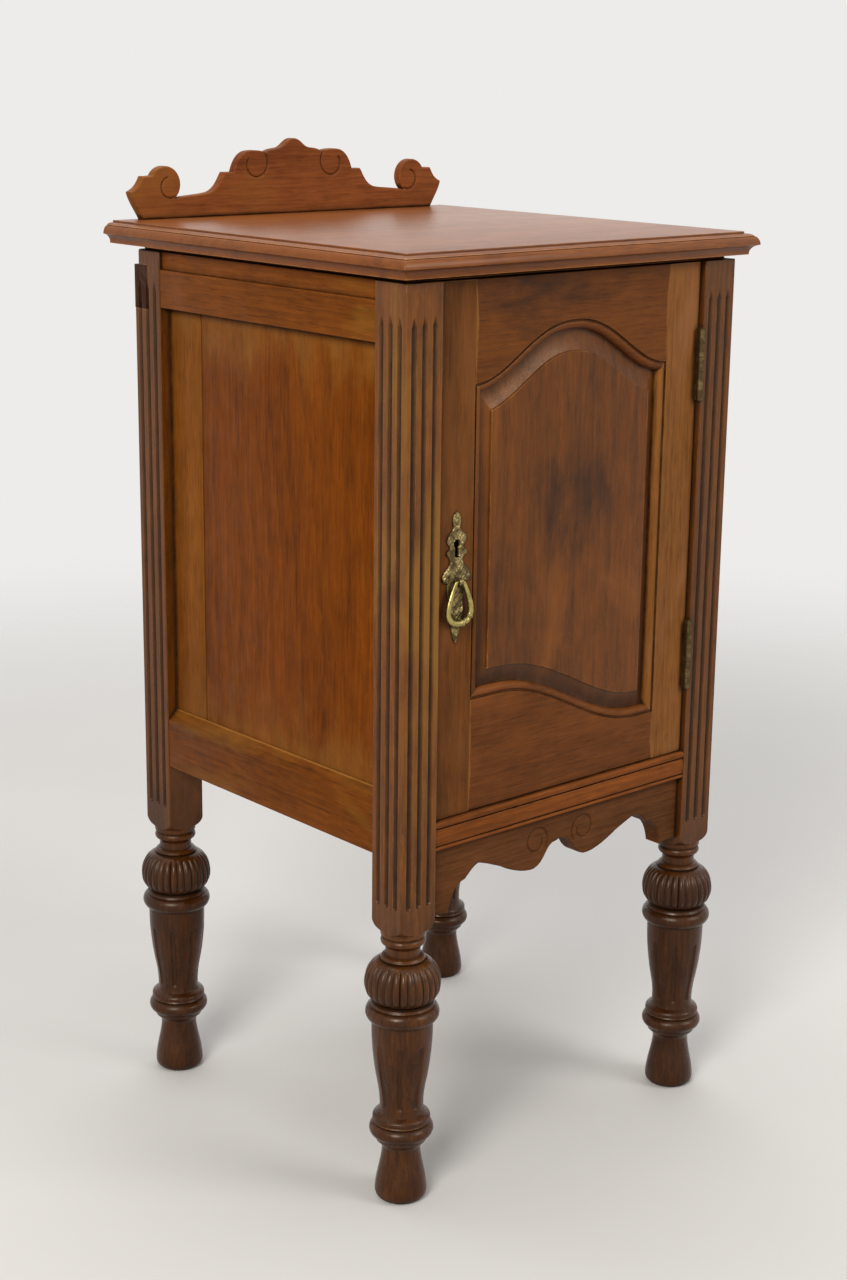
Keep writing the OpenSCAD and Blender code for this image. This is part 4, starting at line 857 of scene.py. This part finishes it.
def moulded_slab(section, back, corner_r):
    """A slab over the carcass, back to y back, whose front and side edges follow section:
    (distance past the posts' faces, height)."""
    rows = []
    for out, z in section:
        side, front = OUT_X + out, FRONT_Y - out + corner_r
        left = arc(corner_r - side, front, corner_r, 180, 270, CORNER_STEPS)
        right = arc(side - corner_r, front, corner_r, 270, 360, CORNER_STEPS)
        rows.append([(x, y, z) for x, y in np.vstack([[[-side, back]], left, right, [[side, back]]])])
    count, columns = len(rows), len(rows[0])
    faces = strip_faces(count, columns)
    faces += [tuple(range(columns)), tuple((count - 1) * columns + i for i in range(columns))[::-1]]
    faces.append(tuple(r * columns for r in range(count))
                 + tuple(r * columns + columns - 1 for r in range(count))[::-1])
    return [p for row in rows for p in row], faces


over = TOP_HIGH[0] - OUT_X
edge = joined(
    [[over - 10.9, 0]],
    arc(over - 10.9, -0.4, 0.4, 90, 0, 3),
    [[over - 10.5, -1.7], [over - 10.1, -1.9]],
    arc(over - 9.4, -11.2, 9.4, 90, 52, 10),
    [[over - 4.4, -4.3], [over - 4.3, -4.9], [over - 3.2, -4.6]],
    arc(over - 9.4, -11.2, 9.4, 46, 0, 14),
    arc(over + 0.7, -19.2, 7.7, 96, 180, 14),
    [[over - 7, -20.0]])
board = moulded_slab(edge + (0, TOP_Z), TOP_HIGH[1], corner_r=1.6)
piece("top_board_moulded", board, TOP_POLISH, ["top_board"], sharp=30)


# %% Frame under the top
def beads(low, high, out, count):
    """Small round beads one above the other, as a section."""
    pitch = (high - low) / count
    runs = [arc(out, low + pitch * (i + 0.5), pitch * 0.46, -90, 90, 6) for i in range(count)]
    return joined([[out - 3, low]], *runs, [[out - 3, high]])


low, high = extent("under_top_frame")
under = beads(low[2], high[2], high[0] - OUT_X - 0.95, 2)
board = moulded_slab(under, high[1], corner_r=0.4)
# The frame under the top takes a darker finish: painted shade under the top's overhang
piece("under_top_frame_beaded", board, FRAME_PAINTED_SHADE, ["under_top_frame"], sharp=40)

# %% [markdown]
# ## Door
# Two stiles, an arched top rail, an S-shaped bottom rail and a fielded panel. The moulding was
# cut on the frame itself, a sunk fillet and a flattened ovolo, and the joiner mitred it at the
# corners. The panel's edge is a hollow that rises to a small step round the field.

# %% Door outlines
ARCH_Z, ARCH_RISE, LOWER_EDGE, LOWER_DROP = 756.0, 44.5, 444.5, 53.5
# The lower edge's S: where it starts across the door, and how far it runs
S_FROM, S_RUN = -80.0, 170.0
DOOR_T, EDGE_POINTS = 20.0, 97
# (distance in from the arris, depth behind the door's face): the moulding, then the back of the
# frame with the groove that holds the panel
MOULDING = [(0.0, 0.0), (0.25, 0.0), (0.5, 0.35), (0.6, 1.5), (0.9, 1.8), (2.3, 1.85), (2.6, 1.6),
            (2.7, 0.95), (3.4, 0.55), (4.5, 0.35), (5.8, 0.6), (7.0, 1.35), (8.0, 2.6), (8.6, 4.0),
            (8.9, 5.6), (9.0, 7.4), (9.0, 8.5), (2.5, 8.5), (2.5, 14.5), (9.0, 14.5), (9.0, DOOR_T)]


def arch(x):
    u = np.minimum(1, np.abs(x) / ARRIS_X)
    return ARCH_Z - ARCH_RISE + ARCH_RISE * (1 + np.cos(math.pi * u**1.15)) / 2


def lower_edge(x):
    t = np.clip((x - S_FROM) / S_RUN, 0, 1)
    return LOWER_EDGE - LOWER_DROP * (1 - np.cos(math.pi * t)) / 2


def offset_edge(edge, inset, sign):
    """The edge moved inwards by inset along its normals, between the mitres. sign is -1 for the arch."""
    x = np.linspace(-ARRIS_X, ARRIS_X, 801)
    z = edge(x)
    slope = np.gradient(z, x)
    length = np.hypot(1, slope)
    moved_x, moved_z = x - sign * slope / length * inset, z + sign * inset / length
    order = np.argsort(moved_x)
    ends = np.linspace(-(ARRIS_X - inset), ARRIS_X - inset, EDGE_POINTS)
    return np.column_stack([ends, np.interp(ends, moved_x[order], moved_z[order])])


# %% Door rails
def door_rail(name, edge, sign, outer_z):
    """A rail: its outer edge is straight, its inner edge carries the moulding."""
    rows = [[(x, DOOR_Y + depth, outer_z + sign * up) for x in np.linspace(-ARRIS_X, ARRIS_X, EDGE_POINTS)]
            for up, depth in ((0, DOOR_T), (0, DOOR_T - 0.5), (0, 0.5), (0.5, 0.0))]
    rows += [[(x, DOOR_Y + depth, z) for x, z in offset_edge(edge, inset, sign)] for inset, depth in MOULDING]
    piece(f"{name}_moulded", bar(rows), DOOR_RAIL_WAX, [name], sharp=34)


door_rail("door_top_rail", arch, -1, DOOR_TOP)
door_rail("door_bottom_rail", lower_edge, 1, DOOR_BOTTOM)


# %% Door stiles
def door_stile(name, side, finish):
    """Straight member with the moulding between the two rails' mitres."""
    low, high = float(lower_edge(np.array(side * ARRIS_X))), float(arch(np.array(ARRIS_X)))
    heights = [DOOR_BOTTOM, DOOR_BOTTOM + 0.5, *np.linspace(low, high, 25), DOOR_TOP - 0.5, DOOR_TOP]
    outer = [(DOOR_HALF, DOOR_T), (DOOR_HALF, 0.6), (DOOR_HALF - 0.6, 0.0), (ARRIS_X + 0.02, 0.0)]
    rows = [[(side * x, DOOR_Y + depth, z) for z in heights] for x, depth in outer]
    for inset, depth in MOULDING:
        mitred = np.clip(heights, low + inset, high - inset)
        rows.append([(side * (ARRIS_X - inset), DOOR_Y + depth, z) for z in mitred])
    rows.append([(side * ARRIS_X, DOOR_Y + DOOR_T, z) for z in heights])
    piece(f"{name}_moulded", bar(rows), finish, [name], sharp=34)


door_stile("door_stile_left", -1, STILE_WAX)
# The right stile takes the lighter copy of the finish, painted light
door_stile("door_stile_right", 1, STILE_PAINTED_LIGHT)

# %% Door panel
HOLLOW_W, FIELD_SET, PANEL_DEPTH = 12.0, 1.4, 7.4
# The hollow is wider under the arch than at the sides, and a little wider at the foot
TOP_EXTRA, BOTTOM_EXTRA = 7.0, 4.0
# (distance inside the arris, depth behind the door's face): edge, flat rim, hollow, step, field
edge = 9 + HOLLOW_W
rim_loops = [(3.0, 14.0), (3.0, 8.8), (8.9, 8.8), (8.9, PANEL_DEPTH)]
loops = [(9.2 + (HOLLOW_W - 0.9) * t, PANEL_DEPTH - (PANEL_DEPTH - FIELD_SET - 1.9) * t**1.7)
         for t in np.arange(13) / 12]
loops += [(edge - 0.58, FIELD_SET + 0.4), (edge - 0.35, FIELD_SET + 0.06), (edge + 0.3, FIELD_SET)]
rows, dirt_and_shade = [], []
for inset, depth in rim_loops + loops:
    share = max(0.0, (inset - 9.2) / (HOLLOW_W - 0.2))
    top = offset_edge(arch, inset, -1) - (0, TOP_EXTRA * share)
    foot = offset_edge(lower_edge, inset, 1)[::-1] + (0, BOTTOM_EXTRA * share)
    rows.append([(x, DOOR_Y + depth, z) for x, z in np.vstack([top, foot])])
    # Dirt and painted shade in the hollow: the hollow at the foot faces down and is painted far darker than
    # the one under the arch
    held = min(1.0, max(0.0, (depth - 1.7) / 5.0)) if (inset, depth) in loops else 0.0
    dirt_and_shade += [held * 0.22] * EDGE_POINTS + [held * 0.82] * EDGE_POINTS
piece("door_panel_fielded", capped(rows), FIELD_WAX, ["door_panel"], sharp=34, dirt=dirt_and_shade)

# %% [markdown]
# ## Sill
# The rail under the door was run with a moulding plane: a torus at the top, a quirk, a broad
# cushion, another quirk and a smaller torus below.

# %% Sill
low, high = extent("sill_rail")
front, h = low[1] + 0.9, high[2] - low[2]
section = joined(
    [[24, 0], [2, 0]],
    curve([2, 0], [-0.6, 0.2], [-0.6, 3.4], [1.6, 3.6]),
    [[2.4, 3.9], [2.4, 4.5], [0.9, 4.7]],
    curve([0.9, 4.7], [0.0, 8.0], [0.0, h - 10.5], [0.9, h - 7.2]),
    [[2.4, h - 7.0], [2.4, h - 6.3]],
    curve([1.6, h - 6.2], [-0.9, h - 5.8], [-0.9, h - 0.3], [2.2, h]),
    [[24, h]])
along = [-IN_X, -IN_X + 0.3, *np.linspace(-IN_X + 2, IN_X - 2, 9), IN_X - 0.3, IN_X]
rows = [[(x, front + d, low[2] + z) for x in along] for d, z in section]
piece("sill_rail_moulded", bar(rows), RAIL_X, ["sill_rail"], sharp=50)

# %% [markdown]
# ## Fretted and carved boards
# The gallery and the apron were sawn out with a fret saw, rounded over by hand and given a few
# strokes with a veining tool. Their outlines come from the CAD nodes; the surface between is a
# fine net of triangles whose height falls off near the edge and along the carved lines.

# %% Outlines and distances
def outline_of(node, y):
    """Corner points (x, z) of the largest loop that the node's faces at depth y leave open, in mm."""
    bm = cad_mesh([node])
    level = {f for f in bm.faces if all(abs(v.co.y / MM - y) < 0.02 for v in f.verts)}
    rim = {}
    for face in bm.faces:
        for loop in face.loops if face in level else ():
            if any(other not in level for other in loop.edge.link_faces):
                rim[loop.vert] = loop.link_loop_next.vert
    loops = []
    while rim:
        start, at = next(iter(rim.items()))
        del rim[start]
        chain = [start]
        while at in rim:
            chain.append(at)
            at = rim.pop(at)
        loops.append(np.array([(v.co.x / MM, v.co.z / MM) for v in chain]))
    bm.free()
    return max(loops, key=lambda p: np.ptp(p[:, 0]) * np.ptp(p[:, 1]))


def distance_to(points, line):
    """Shortest distance from each point to a line of straight runs."""
    best = np.full(len(points), np.inf)
    for a, b in zip(line[:-1], line[1:]):
        run = b - a
        t = np.clip(((points - a) @ run) / max(run @ run, 1e-9), 0, 1)
        best = np.minimum(best, np.hypot(*(points - a - t[:, None] * run).T))
    return best


def inside(points, loop):
    """Which points lie inside a closed loop."""
    x, z = points.T
    hit = np.zeros(len(points), bool)
    for (x1, z1), (x2, z2) in zip(loop, np.roll(loop, -1, axis=0)):
        with np.errstate(divide="ignore", invalid="ignore"):
            hit ^= ((z1 > z) != (z2 > z)) & (x < x1 + (z - z1) * (x2 - x1) / (z2 - z1))
    return hit


def inward(loop):
    """Unit normals that point into the loop."""
    run = np.roll(loop, -1, axis=0) - np.roll(loop, 1, axis=0)
    run /= np.maximum(np.hypot(*run.T), 1e-9)[:, None]
    normal = np.column_stack([-run[:, 1], run[:, 0]])
    return normal if inside(loop + normal * 0.05, loop).mean() >= 0.5 else -normal


def spiral(cx, cz, r_from, r_to, a, b, n=40):
    t = np.linspace(0, 1, n + 1)
    radius, angle = r_from + (r_to - r_from) * t, np.radians(a + (b - a) * t)
    return np.column_stack([cx + radius * np.cos(angle), cz + radius * np.sin(angle)])


# %% Relief
# How far the finer net reaches on both sides of a line
NEAR_REACH = 2.2


def relief(name, front, back, height, spacing, near, material, nodes, edge_step=1.0,
           insets=(0.25, 0.6, 1.0, 1.5, 2.1, 2.8)):
    """A board with the first node's outline, from y back to y front. height(points, rim) is how far
    the front stands back, in mm, where rim is each point's distance from the outline. near is
    (spacing, lines) of a finer net along some lines, and insets are rows that follow the edge."""
    outline = outline_of(nodes[0], back)
    loop = resampled(np.vstack([outline, outline[:1]]), edge_step)[:-1]
    closed = np.vstack([loop, loop[:1]])
    low, high = loop.min(0), loop.max(0)
    inner = []
    for step, lines in ((spacing, None), near):
        xs, zs = np.arange(low[0], high[0], step), np.arange(low[1], high[1], step)
        grid = np.array([(x + (step / 2) * (j % 2), z) for j, z in enumerate(zs) for x in xs])
        grid = grid[inside(grid, loop)]
        # Points of the net keep about half a step away from the edge, and rows keep their distance
        grid = grid[distance_to(grid, closed) > step * 0.45]
        if lines is not None:
            grid = grid[np.min([distance_to(grid, line) for line in lines], axis=0) < NEAR_REACH]
        inner.append(grid)
    for inset in insets:
        row = loop + inward(loop) * inset
        inner.append(row[inside(row, loop) & (distance_to(row, closed) > inset * 0.93)])
    count = len(loop)
    flat = [Vector(p) for p in np.vstack([loop, *inner])]
    rim_edges = [(i, (i + 1) % count) for i in range(count)]
    verts, _, faces, *_ = delaunay_2d_cdt(flat, rim_edges, [], 0, 0.01)
    spots = np.array([(v.x, v.y) for v in verts])
    middles = np.array([spots[list(face)].mean(0) for face in faces])
    faces = [tuple(face) for face, kept in zip(faces, inside(middles, loop)) if kept]
    stand = height(spots, distance_to(spots, closed))
    total = len(spots)
    points = [(x, front + d, z) for (x, z), d in zip(spots, stand)] + [(x, back, z) for x, z in spots]
    runs = {(a, b) for face in faces for a, b in zip(face, face[1:] + face[:1])}
    sides = [(b, a, a + total, b + total) for a, b in runs if (b, a) not in runs]
    faces += [tuple(i + total for i in f[::-1]) for f in faces] + sides
    return piece(name, (points, faces), material, nodes, sharp=50)


def rounded(rim, radius):
    """How far a quarter-round edge of that radius stands back at distance rim from the edge."""
    t = np.clip(1 - rim / radius, 0, 1)
    return radius * (1 - np.sqrt(np.maximum(1 - t * t, 0)))


def veined(points, lines, depth, width):
    """Depth of the carved lines: a round-bottomed vein."""
    return np.max([depth * np.exp(-(distance_to(points, line) / width)**2 * 2) for line in lines], axis=0)


# %% Gallery
SCROLLS = (spiral(143.2, 28.4, 10.5, 8.5, -120, 75), spiral(45.5, 46.5, 14.5, 9.5, 137, 390))
GALLERY_LINES = [line * (side, 1) + (0, TOP_Z) for side in (-1, 1) for line in SCROLLS]


def gallery_height(points, rim):
    return rounded(rim, 1.6) + veined(points, GALLERY_LINES, 1.2, 1.1)


low, high = extent("gallery")
relief("gallery_carved", low[1], high[1], gallery_height, 3.0, (0.55, GALLERY_LINES), GALLERY_WAX,
       ["gallery", "gallery_dowels"])

# %% Apron
low, high = extent("apron")
APRON_TOP = high[2]
APRON_LINES = [spiral(29, -21.5, 14.5, 7.0, 215, -190) * (side, 1) + (0, APRON_TOP) for side in (-1, 1)]


def apron_height(points, rim):
    """Its top edge meets the sill, so that one stays square."""
    free_rim = np.where(points[:, 1] > APRON_TOP - 3, 9, rim)
    return rounded(free_rim, 1.4) + veined(points, APRON_LINES, 1.3, 1.5)


relief("apron_carved", low[1], high[1], apron_height, 3.5, (0.6, APRON_LINES), CARVED_DARK, ["apron"])

# %% [markdown]
# ## Handle
# A thin cast plate in leafwork with a keyhole, an eye in front of it and a pear-shaped ring that
# hangs from the eye. The casting is soft from polishing, so its leaves are low ribs that
# fall away from the middle line, with small bosses where they curl. The ring is brighter,
# because hands polish it.

# %% Plate
PLATE_LOW, PLATE_HIGH = extent("handle_plate")
PLATE_X = centre("handle_plate")[0]
BAIL_Z = centre("handle_post")[2]
# The keyhole's eye and the foot of its slot: (height over the bail's pivot, radius)
KEY_EYE, KEY_FOOT, KEY_WAIST = (31.0, 3.3), (24.0, 1.9), 1.7
# (distance from the middle line, height over the bail's pivot, radius) of each boss
BOSSES = [(13.6, 2.6, 2.2), (9.0, 37.4, 2.2), (9.6, 24.0, 2.2), (0.0, 50.0, 2.4), (0.0, 44.5, 2.6),
          (5.6, 31.0, 1.6), (6.2, 14.5, 1.9), (0.0, 15.5, 2.3), (9.6, 6.0, 2.2), (0.0, -17.0, 2.6),
          (5.4, -26.0, 2.2), (0.0, -27.0, 2.4), (4.4, -34.0, 1.7), (0.0, -38.5, 2.2), (0.0, -47.0, 1.8),
          (2.9, -20.5, 1.6)]


def in_keyhole(x, up):
    """Negative inside the keyhole: a round eye over a tapering slot."""
    (eye, eye_r), (foot, foot_r) = KEY_EYE, KEY_FOOT
    t = np.clip((eye - up) / (eye - foot), 0, 1)
    slot = np.abs(x) - (KEY_WAIST + (foot_r - KEY_WAIST) * t) + np.where((up > eye) | (up < foot - 4), 9, 0)
    return np.minimum(np.hypot(x, up - eye) - eye_r, slot)


def plate_height(points, rim):
    """Leaves of slanting ribs about 5 mm apart with finer veins across them, bosses, and a lip
    round the keyhole."""
    x, up = points[:, 0] - PLATE_X, points[:, 1] - BAIL_Z
    ribs = 0.55 * np.abs(np.sin(up * 0.62 - np.abs(x) * 0.85))**0.8
    veins = 0.5 * np.abs(np.sin(up * 1.3 + np.abs(x) * 1.15)) * np.abs(np.cos(up * 0.35))
    leaf = (ribs + veins) * np.clip(rim / 1.2, 0, 1)
    near_by = np.array([np.hypot(np.abs(x) - bx, up - bz) / r for bx, bz, r in BOSSES]).min(0)
    boss = 0.95 * np.sqrt(np.clip(1 - near_by**2, 0, 1))
    key = in_keyhole(x, up)
    lip = 0.5 * np.exp(-((key - 0.9) / 0.5)**2)
    hole = np.where(key < 0, 2.2, 0.0)
    return 0.95 + rounded(rim, 0.9) - leaf * (key > 0.8) - boss * (key > 0.5) - lip + hole


KEY_LINE = np.array([(PLATE_X, BAIL_Z + 34.0), (PLATE_X, BAIL_Z + 20.0)])
plate = relief("handle_plate_cast", PLATE_LOW[1] - 0.75, PLATE_HIGH[1], plate_height, 0.62,
               (0.45, [KEY_LINE]), PLATE_BRASS, ["handle_plate"], edge_step=0.6, insets=(0.3, 0.7))
plate.data.materials.append(metal("shadow in the keyhole", "#1A120C", "#0E0A08", rough=0.8))
for face in plate.data.polygons:
    x, y, z = np.array(face.center) / MM
    if in_keyhole(x - PLATE_X, z - BAIL_Z) < -0.1 and y < PLATE_HIGH[1] - 0.01:
        face.material_index = 1


# %% Ring
def tube(route, radii, sides=18):
    """Rows of a round bar along route (points in mm); radii holds its radius at each point."""
    run = np.gradient(route, axis=0)
    side = np.array([0.0, 1.0, 0.0])
    turns = math.tau * np.arange(sides) / sides
    rows = []
    for spot, along, r in zip(route, run, radii):
        up = np.cross(along, side)
        up /= np.linalg.norm(up)
        rows.append([tuple(spot + r * (math.cos(a) * up + math.sin(a) * side)) for a in turns])
    return rows


# Pear shape: the two ends come together at the eye, the low end is wide and round
BAIL_Y = centre("bail")[1]
BAIL_FOOT, BAIL_DROP, BAIL_HALF, BAR_R, PIN_R, PIN_SIDES = 3.4, 35.4, 11.3, 2.3, 1.2, 14
t = np.linspace(0, 1, 150)
turn = math.tau * t
low_share = (1 - np.cos(turn)) / 2
out = BAIL_FOOT * (1 - low_share) + BAIL_HALF * np.abs(np.sin(turn)) * (0.7 + 0.5 * low_share)
drop = -BAIL_DROP * np.abs(np.sin(turn / 2))**1.2
route = np.column_stack([PLATE_X + np.where(t < 0.5, -1, 1) * out, np.full(len(t), BAIL_Y), BAIL_Z + drop])
# The bar thins to its ends and swells to its foot, with turned beads and necks off the middle:
# (share of the way round, width as such a share, rise in mm)
BEADS = ((0.535, 0.012, 0.55), (0.60, 0.02, 0.25), (0.655, 0.012, 0.6), (0.562, 0.008, -0.4),
         (0.632, 0.007, -0.35))
radii = BAR_R * (0.72 + 0.28 * np.minimum(1, 5 * np.minimum(t, 1 - t)) + 0.2 * np.sin(math.pi * t)**3)
for at, width, rise in BEADS:
    radii += rise * np.exp(-((t - at) / width)**4)
ring, ring_faces = capped(tube(route, radii))
pin_turns = math.tau * np.arange(PIN_SIDES) / PIN_SIDES
pin, pin_faces = capped([[(x, BAIL_Y + PIN_R * math.cos(a), BAIL_Z + PIN_R * math.sin(a)) for a in pin_turns]
                         for x in (PLATE_X - BAIL_FOOT, PLATE_X, PLATE_X + BAIL_FOOT)], start=len(ring))
piece("bail_ring", (ring + pin, ring_faces + pin_faces), BAIL_BRASS, ["bail"], sharp=60)
soften("handle_post", PLATE_BRASS, "handle_post", width=0.35)
soften("plate_pins", BAIL_BRASS, "plate_pins", width=0.2)

# %% [markdown]
# ## Hinges and lock
# Two brass butt hinges let into the door's edge and the post. Their leaves face each other when
# the door is shut, and only the barrels show. Each leaf is held by three slotted screws: one
# head is made, and a Geometry Nodes tree repeats it up the leaf and from hinge to hinge.

# %% Repeating tree
def repeat_twice():
    tree, given = new_tree("repeat along and again", Count="Int", Step="Vector", Rows="Int",
                           Row_Step="Vector", Finish="Material")
    shape = given["Geometry"]
    for count, step in (("Count", "Step"), ("Rows", "Row Step")):
        line = add(tree, "GeometryNodeMeshLine", {"Count": given[count], "Offset": given[step]})
        shape = add(tree, "GeometryNodeInstanceOnPoints", {"Points": line, "Instance": shape})
    return finish_tree(tree, shape, given["Finish"])


REPEAT = repeat_twice()

# %% Slotted screws
HINGE_H, LOW_HINGE_Z, HIGH_HINGE_Z = 63.5, 408.0, 674.0
# The screws' distance up a leaf, and the lowest one's middle over the foot of its head
SCREW_STEP, LOWEST_SCREW = 0.36 * HINGE_H, 3.0
SCREW_R, SCREW_TIP_R, SCREW_DEEP, SLOT_HALF, SLOT_DEEP, SLOT_LEAN = 2.95, 1.5, 1.7, 0.45, 0.8, 24


def screw_head(face_x, side, y, z):
    """A flat countersunk head whose face lies at face_x and looks along side; the slot leans a little."""
    points, faces = [], []
    lean = math.radians(SLOT_LEAN)

    def put(u, v, depth):
        u, v = turned(u, v, lean)
        points.append((face_x - side * depth, y + u, z + v))
        return len(points) - 1

    start = math.asin(SLOT_HALF / SCREW_R)
    angles = np.linspace(start, math.pi - start, 15)
    cones, floors = [], []
    for half in (1, -1):
        rim = [put(SCREW_R * math.cos(a), half * SCREW_R * math.sin(a), 0.05) for a in angles]
        cone = [put(SCREW_TIP_R * math.cos(a), half * SCREW_TIP_R * math.sin(a), SCREW_DEEP) for a in angles]
        ends = [put(SCREW_R * math.cos(a), half * SLOT_HALF, SLOT_DEEP) for a in (angles[0], angles[-1])]
        faces += [tuple(rim), (rim[0], rim[-1], ends[1], ends[0])]
        faces += [(rim[k], rim[k + 1], cone[k + 1], cone[k]) for k in range(len(rim) - 1)]
        faces += [(rim[0], ends[0], cone[0]), (rim[-1], ends[1], cone[-1])]
        cones.append(cone)
        floors.append(ends)
    faces.append((floors[0][0], floors[0][1], floors[1][1], floors[1][0]))
    faces += [(floors[0][i], floors[1][i], cones[1][-i], cones[0][-i]) for i in (0, 1)]
    faces.append(tuple(cones[0] + cones[1][::-1]))
    return points, faces


for node, side in (("hinge_door_screws", 1), ("hinge_post_screws", -1)):
    low, high = extent(node)
    head = screw_head(high[0] if side > 0 else low[0], side, centre(node)[1], low[2] + LOWEST_SCREW)
    made = piece(f"{node}_slotted", head, IRON, [node], sharp=30)
    grow(made, REPEAT, Count=3, Step=(0, 0, SCREW_STEP * MM), Rows=2,
         Row_Step=(0, 0, (HIGH_HINGE_Z - LOW_HINGE_Z) * MM), Finish=IRON)
soften("hinge_door_leaves", HINGE_BRASS, "hinge_door_leaves", width=0.22)
soften("hinge_post_leaves", HINGE_BRASS, "hinge_post_leaves", width=0.22)


# %% Pockets for the lock
def cut_pocket(name, low, high):
    """Cuts a box, given by its two corners in mm, out of a piece."""
    made = bpy.data.objects[name]
    bm = bmesh.new()
    bmesh.ops.create_cube(bm, size=MM)
    bmesh.ops.scale(bm, vec=high - low, verts=bm.verts)
    bmesh.ops.translate(bm, vec=(high + low) / 2 * MM, verts=bm.verts)
    cutter = from_bmesh("pocket", bm)
    bpy.context.view_layer.update()
    cutter.matrix_world = made.matrix_world.copy()
    cut = made.modifiers.new("pocket", "BOOLEAN")
    cut.operation, cut.solver, cut.object = "DIFFERENCE", "MANIFOLD", cutter
    bake(made)
    bpy.data.objects.remove(cutter)
    made.data.set_sharp_from_angle(angle=math.radians(34))
    print(f"{name}: {len(made.data.polygons)} faces with its pocket")


# The case sits in the stile's edge and back; the bolt shoots 6 mm into the post
low, high = extent("lock_case")
cut_pocket("door_stile_left_moulded", low - (2, 0.15, 0.15), high + (0.15, 3, 0.15))
low, high = extent("lock_bolt")
cut_pocket("post_front_left_carved", np.array([-IN_X - 7.2, low[1] - 0.4, low[2] - 0.6]),
           np.array([-IN_X + 2, high[1] + 0.4, high[2] + 0.6]))
soften("lock_case", IRON, "lock_case", width=0.4)
soften("lock_cap", IRON, "lock_cap", width=0.3)
soften("lock_bolt", IRON, "lock_bolt", width=0.4)
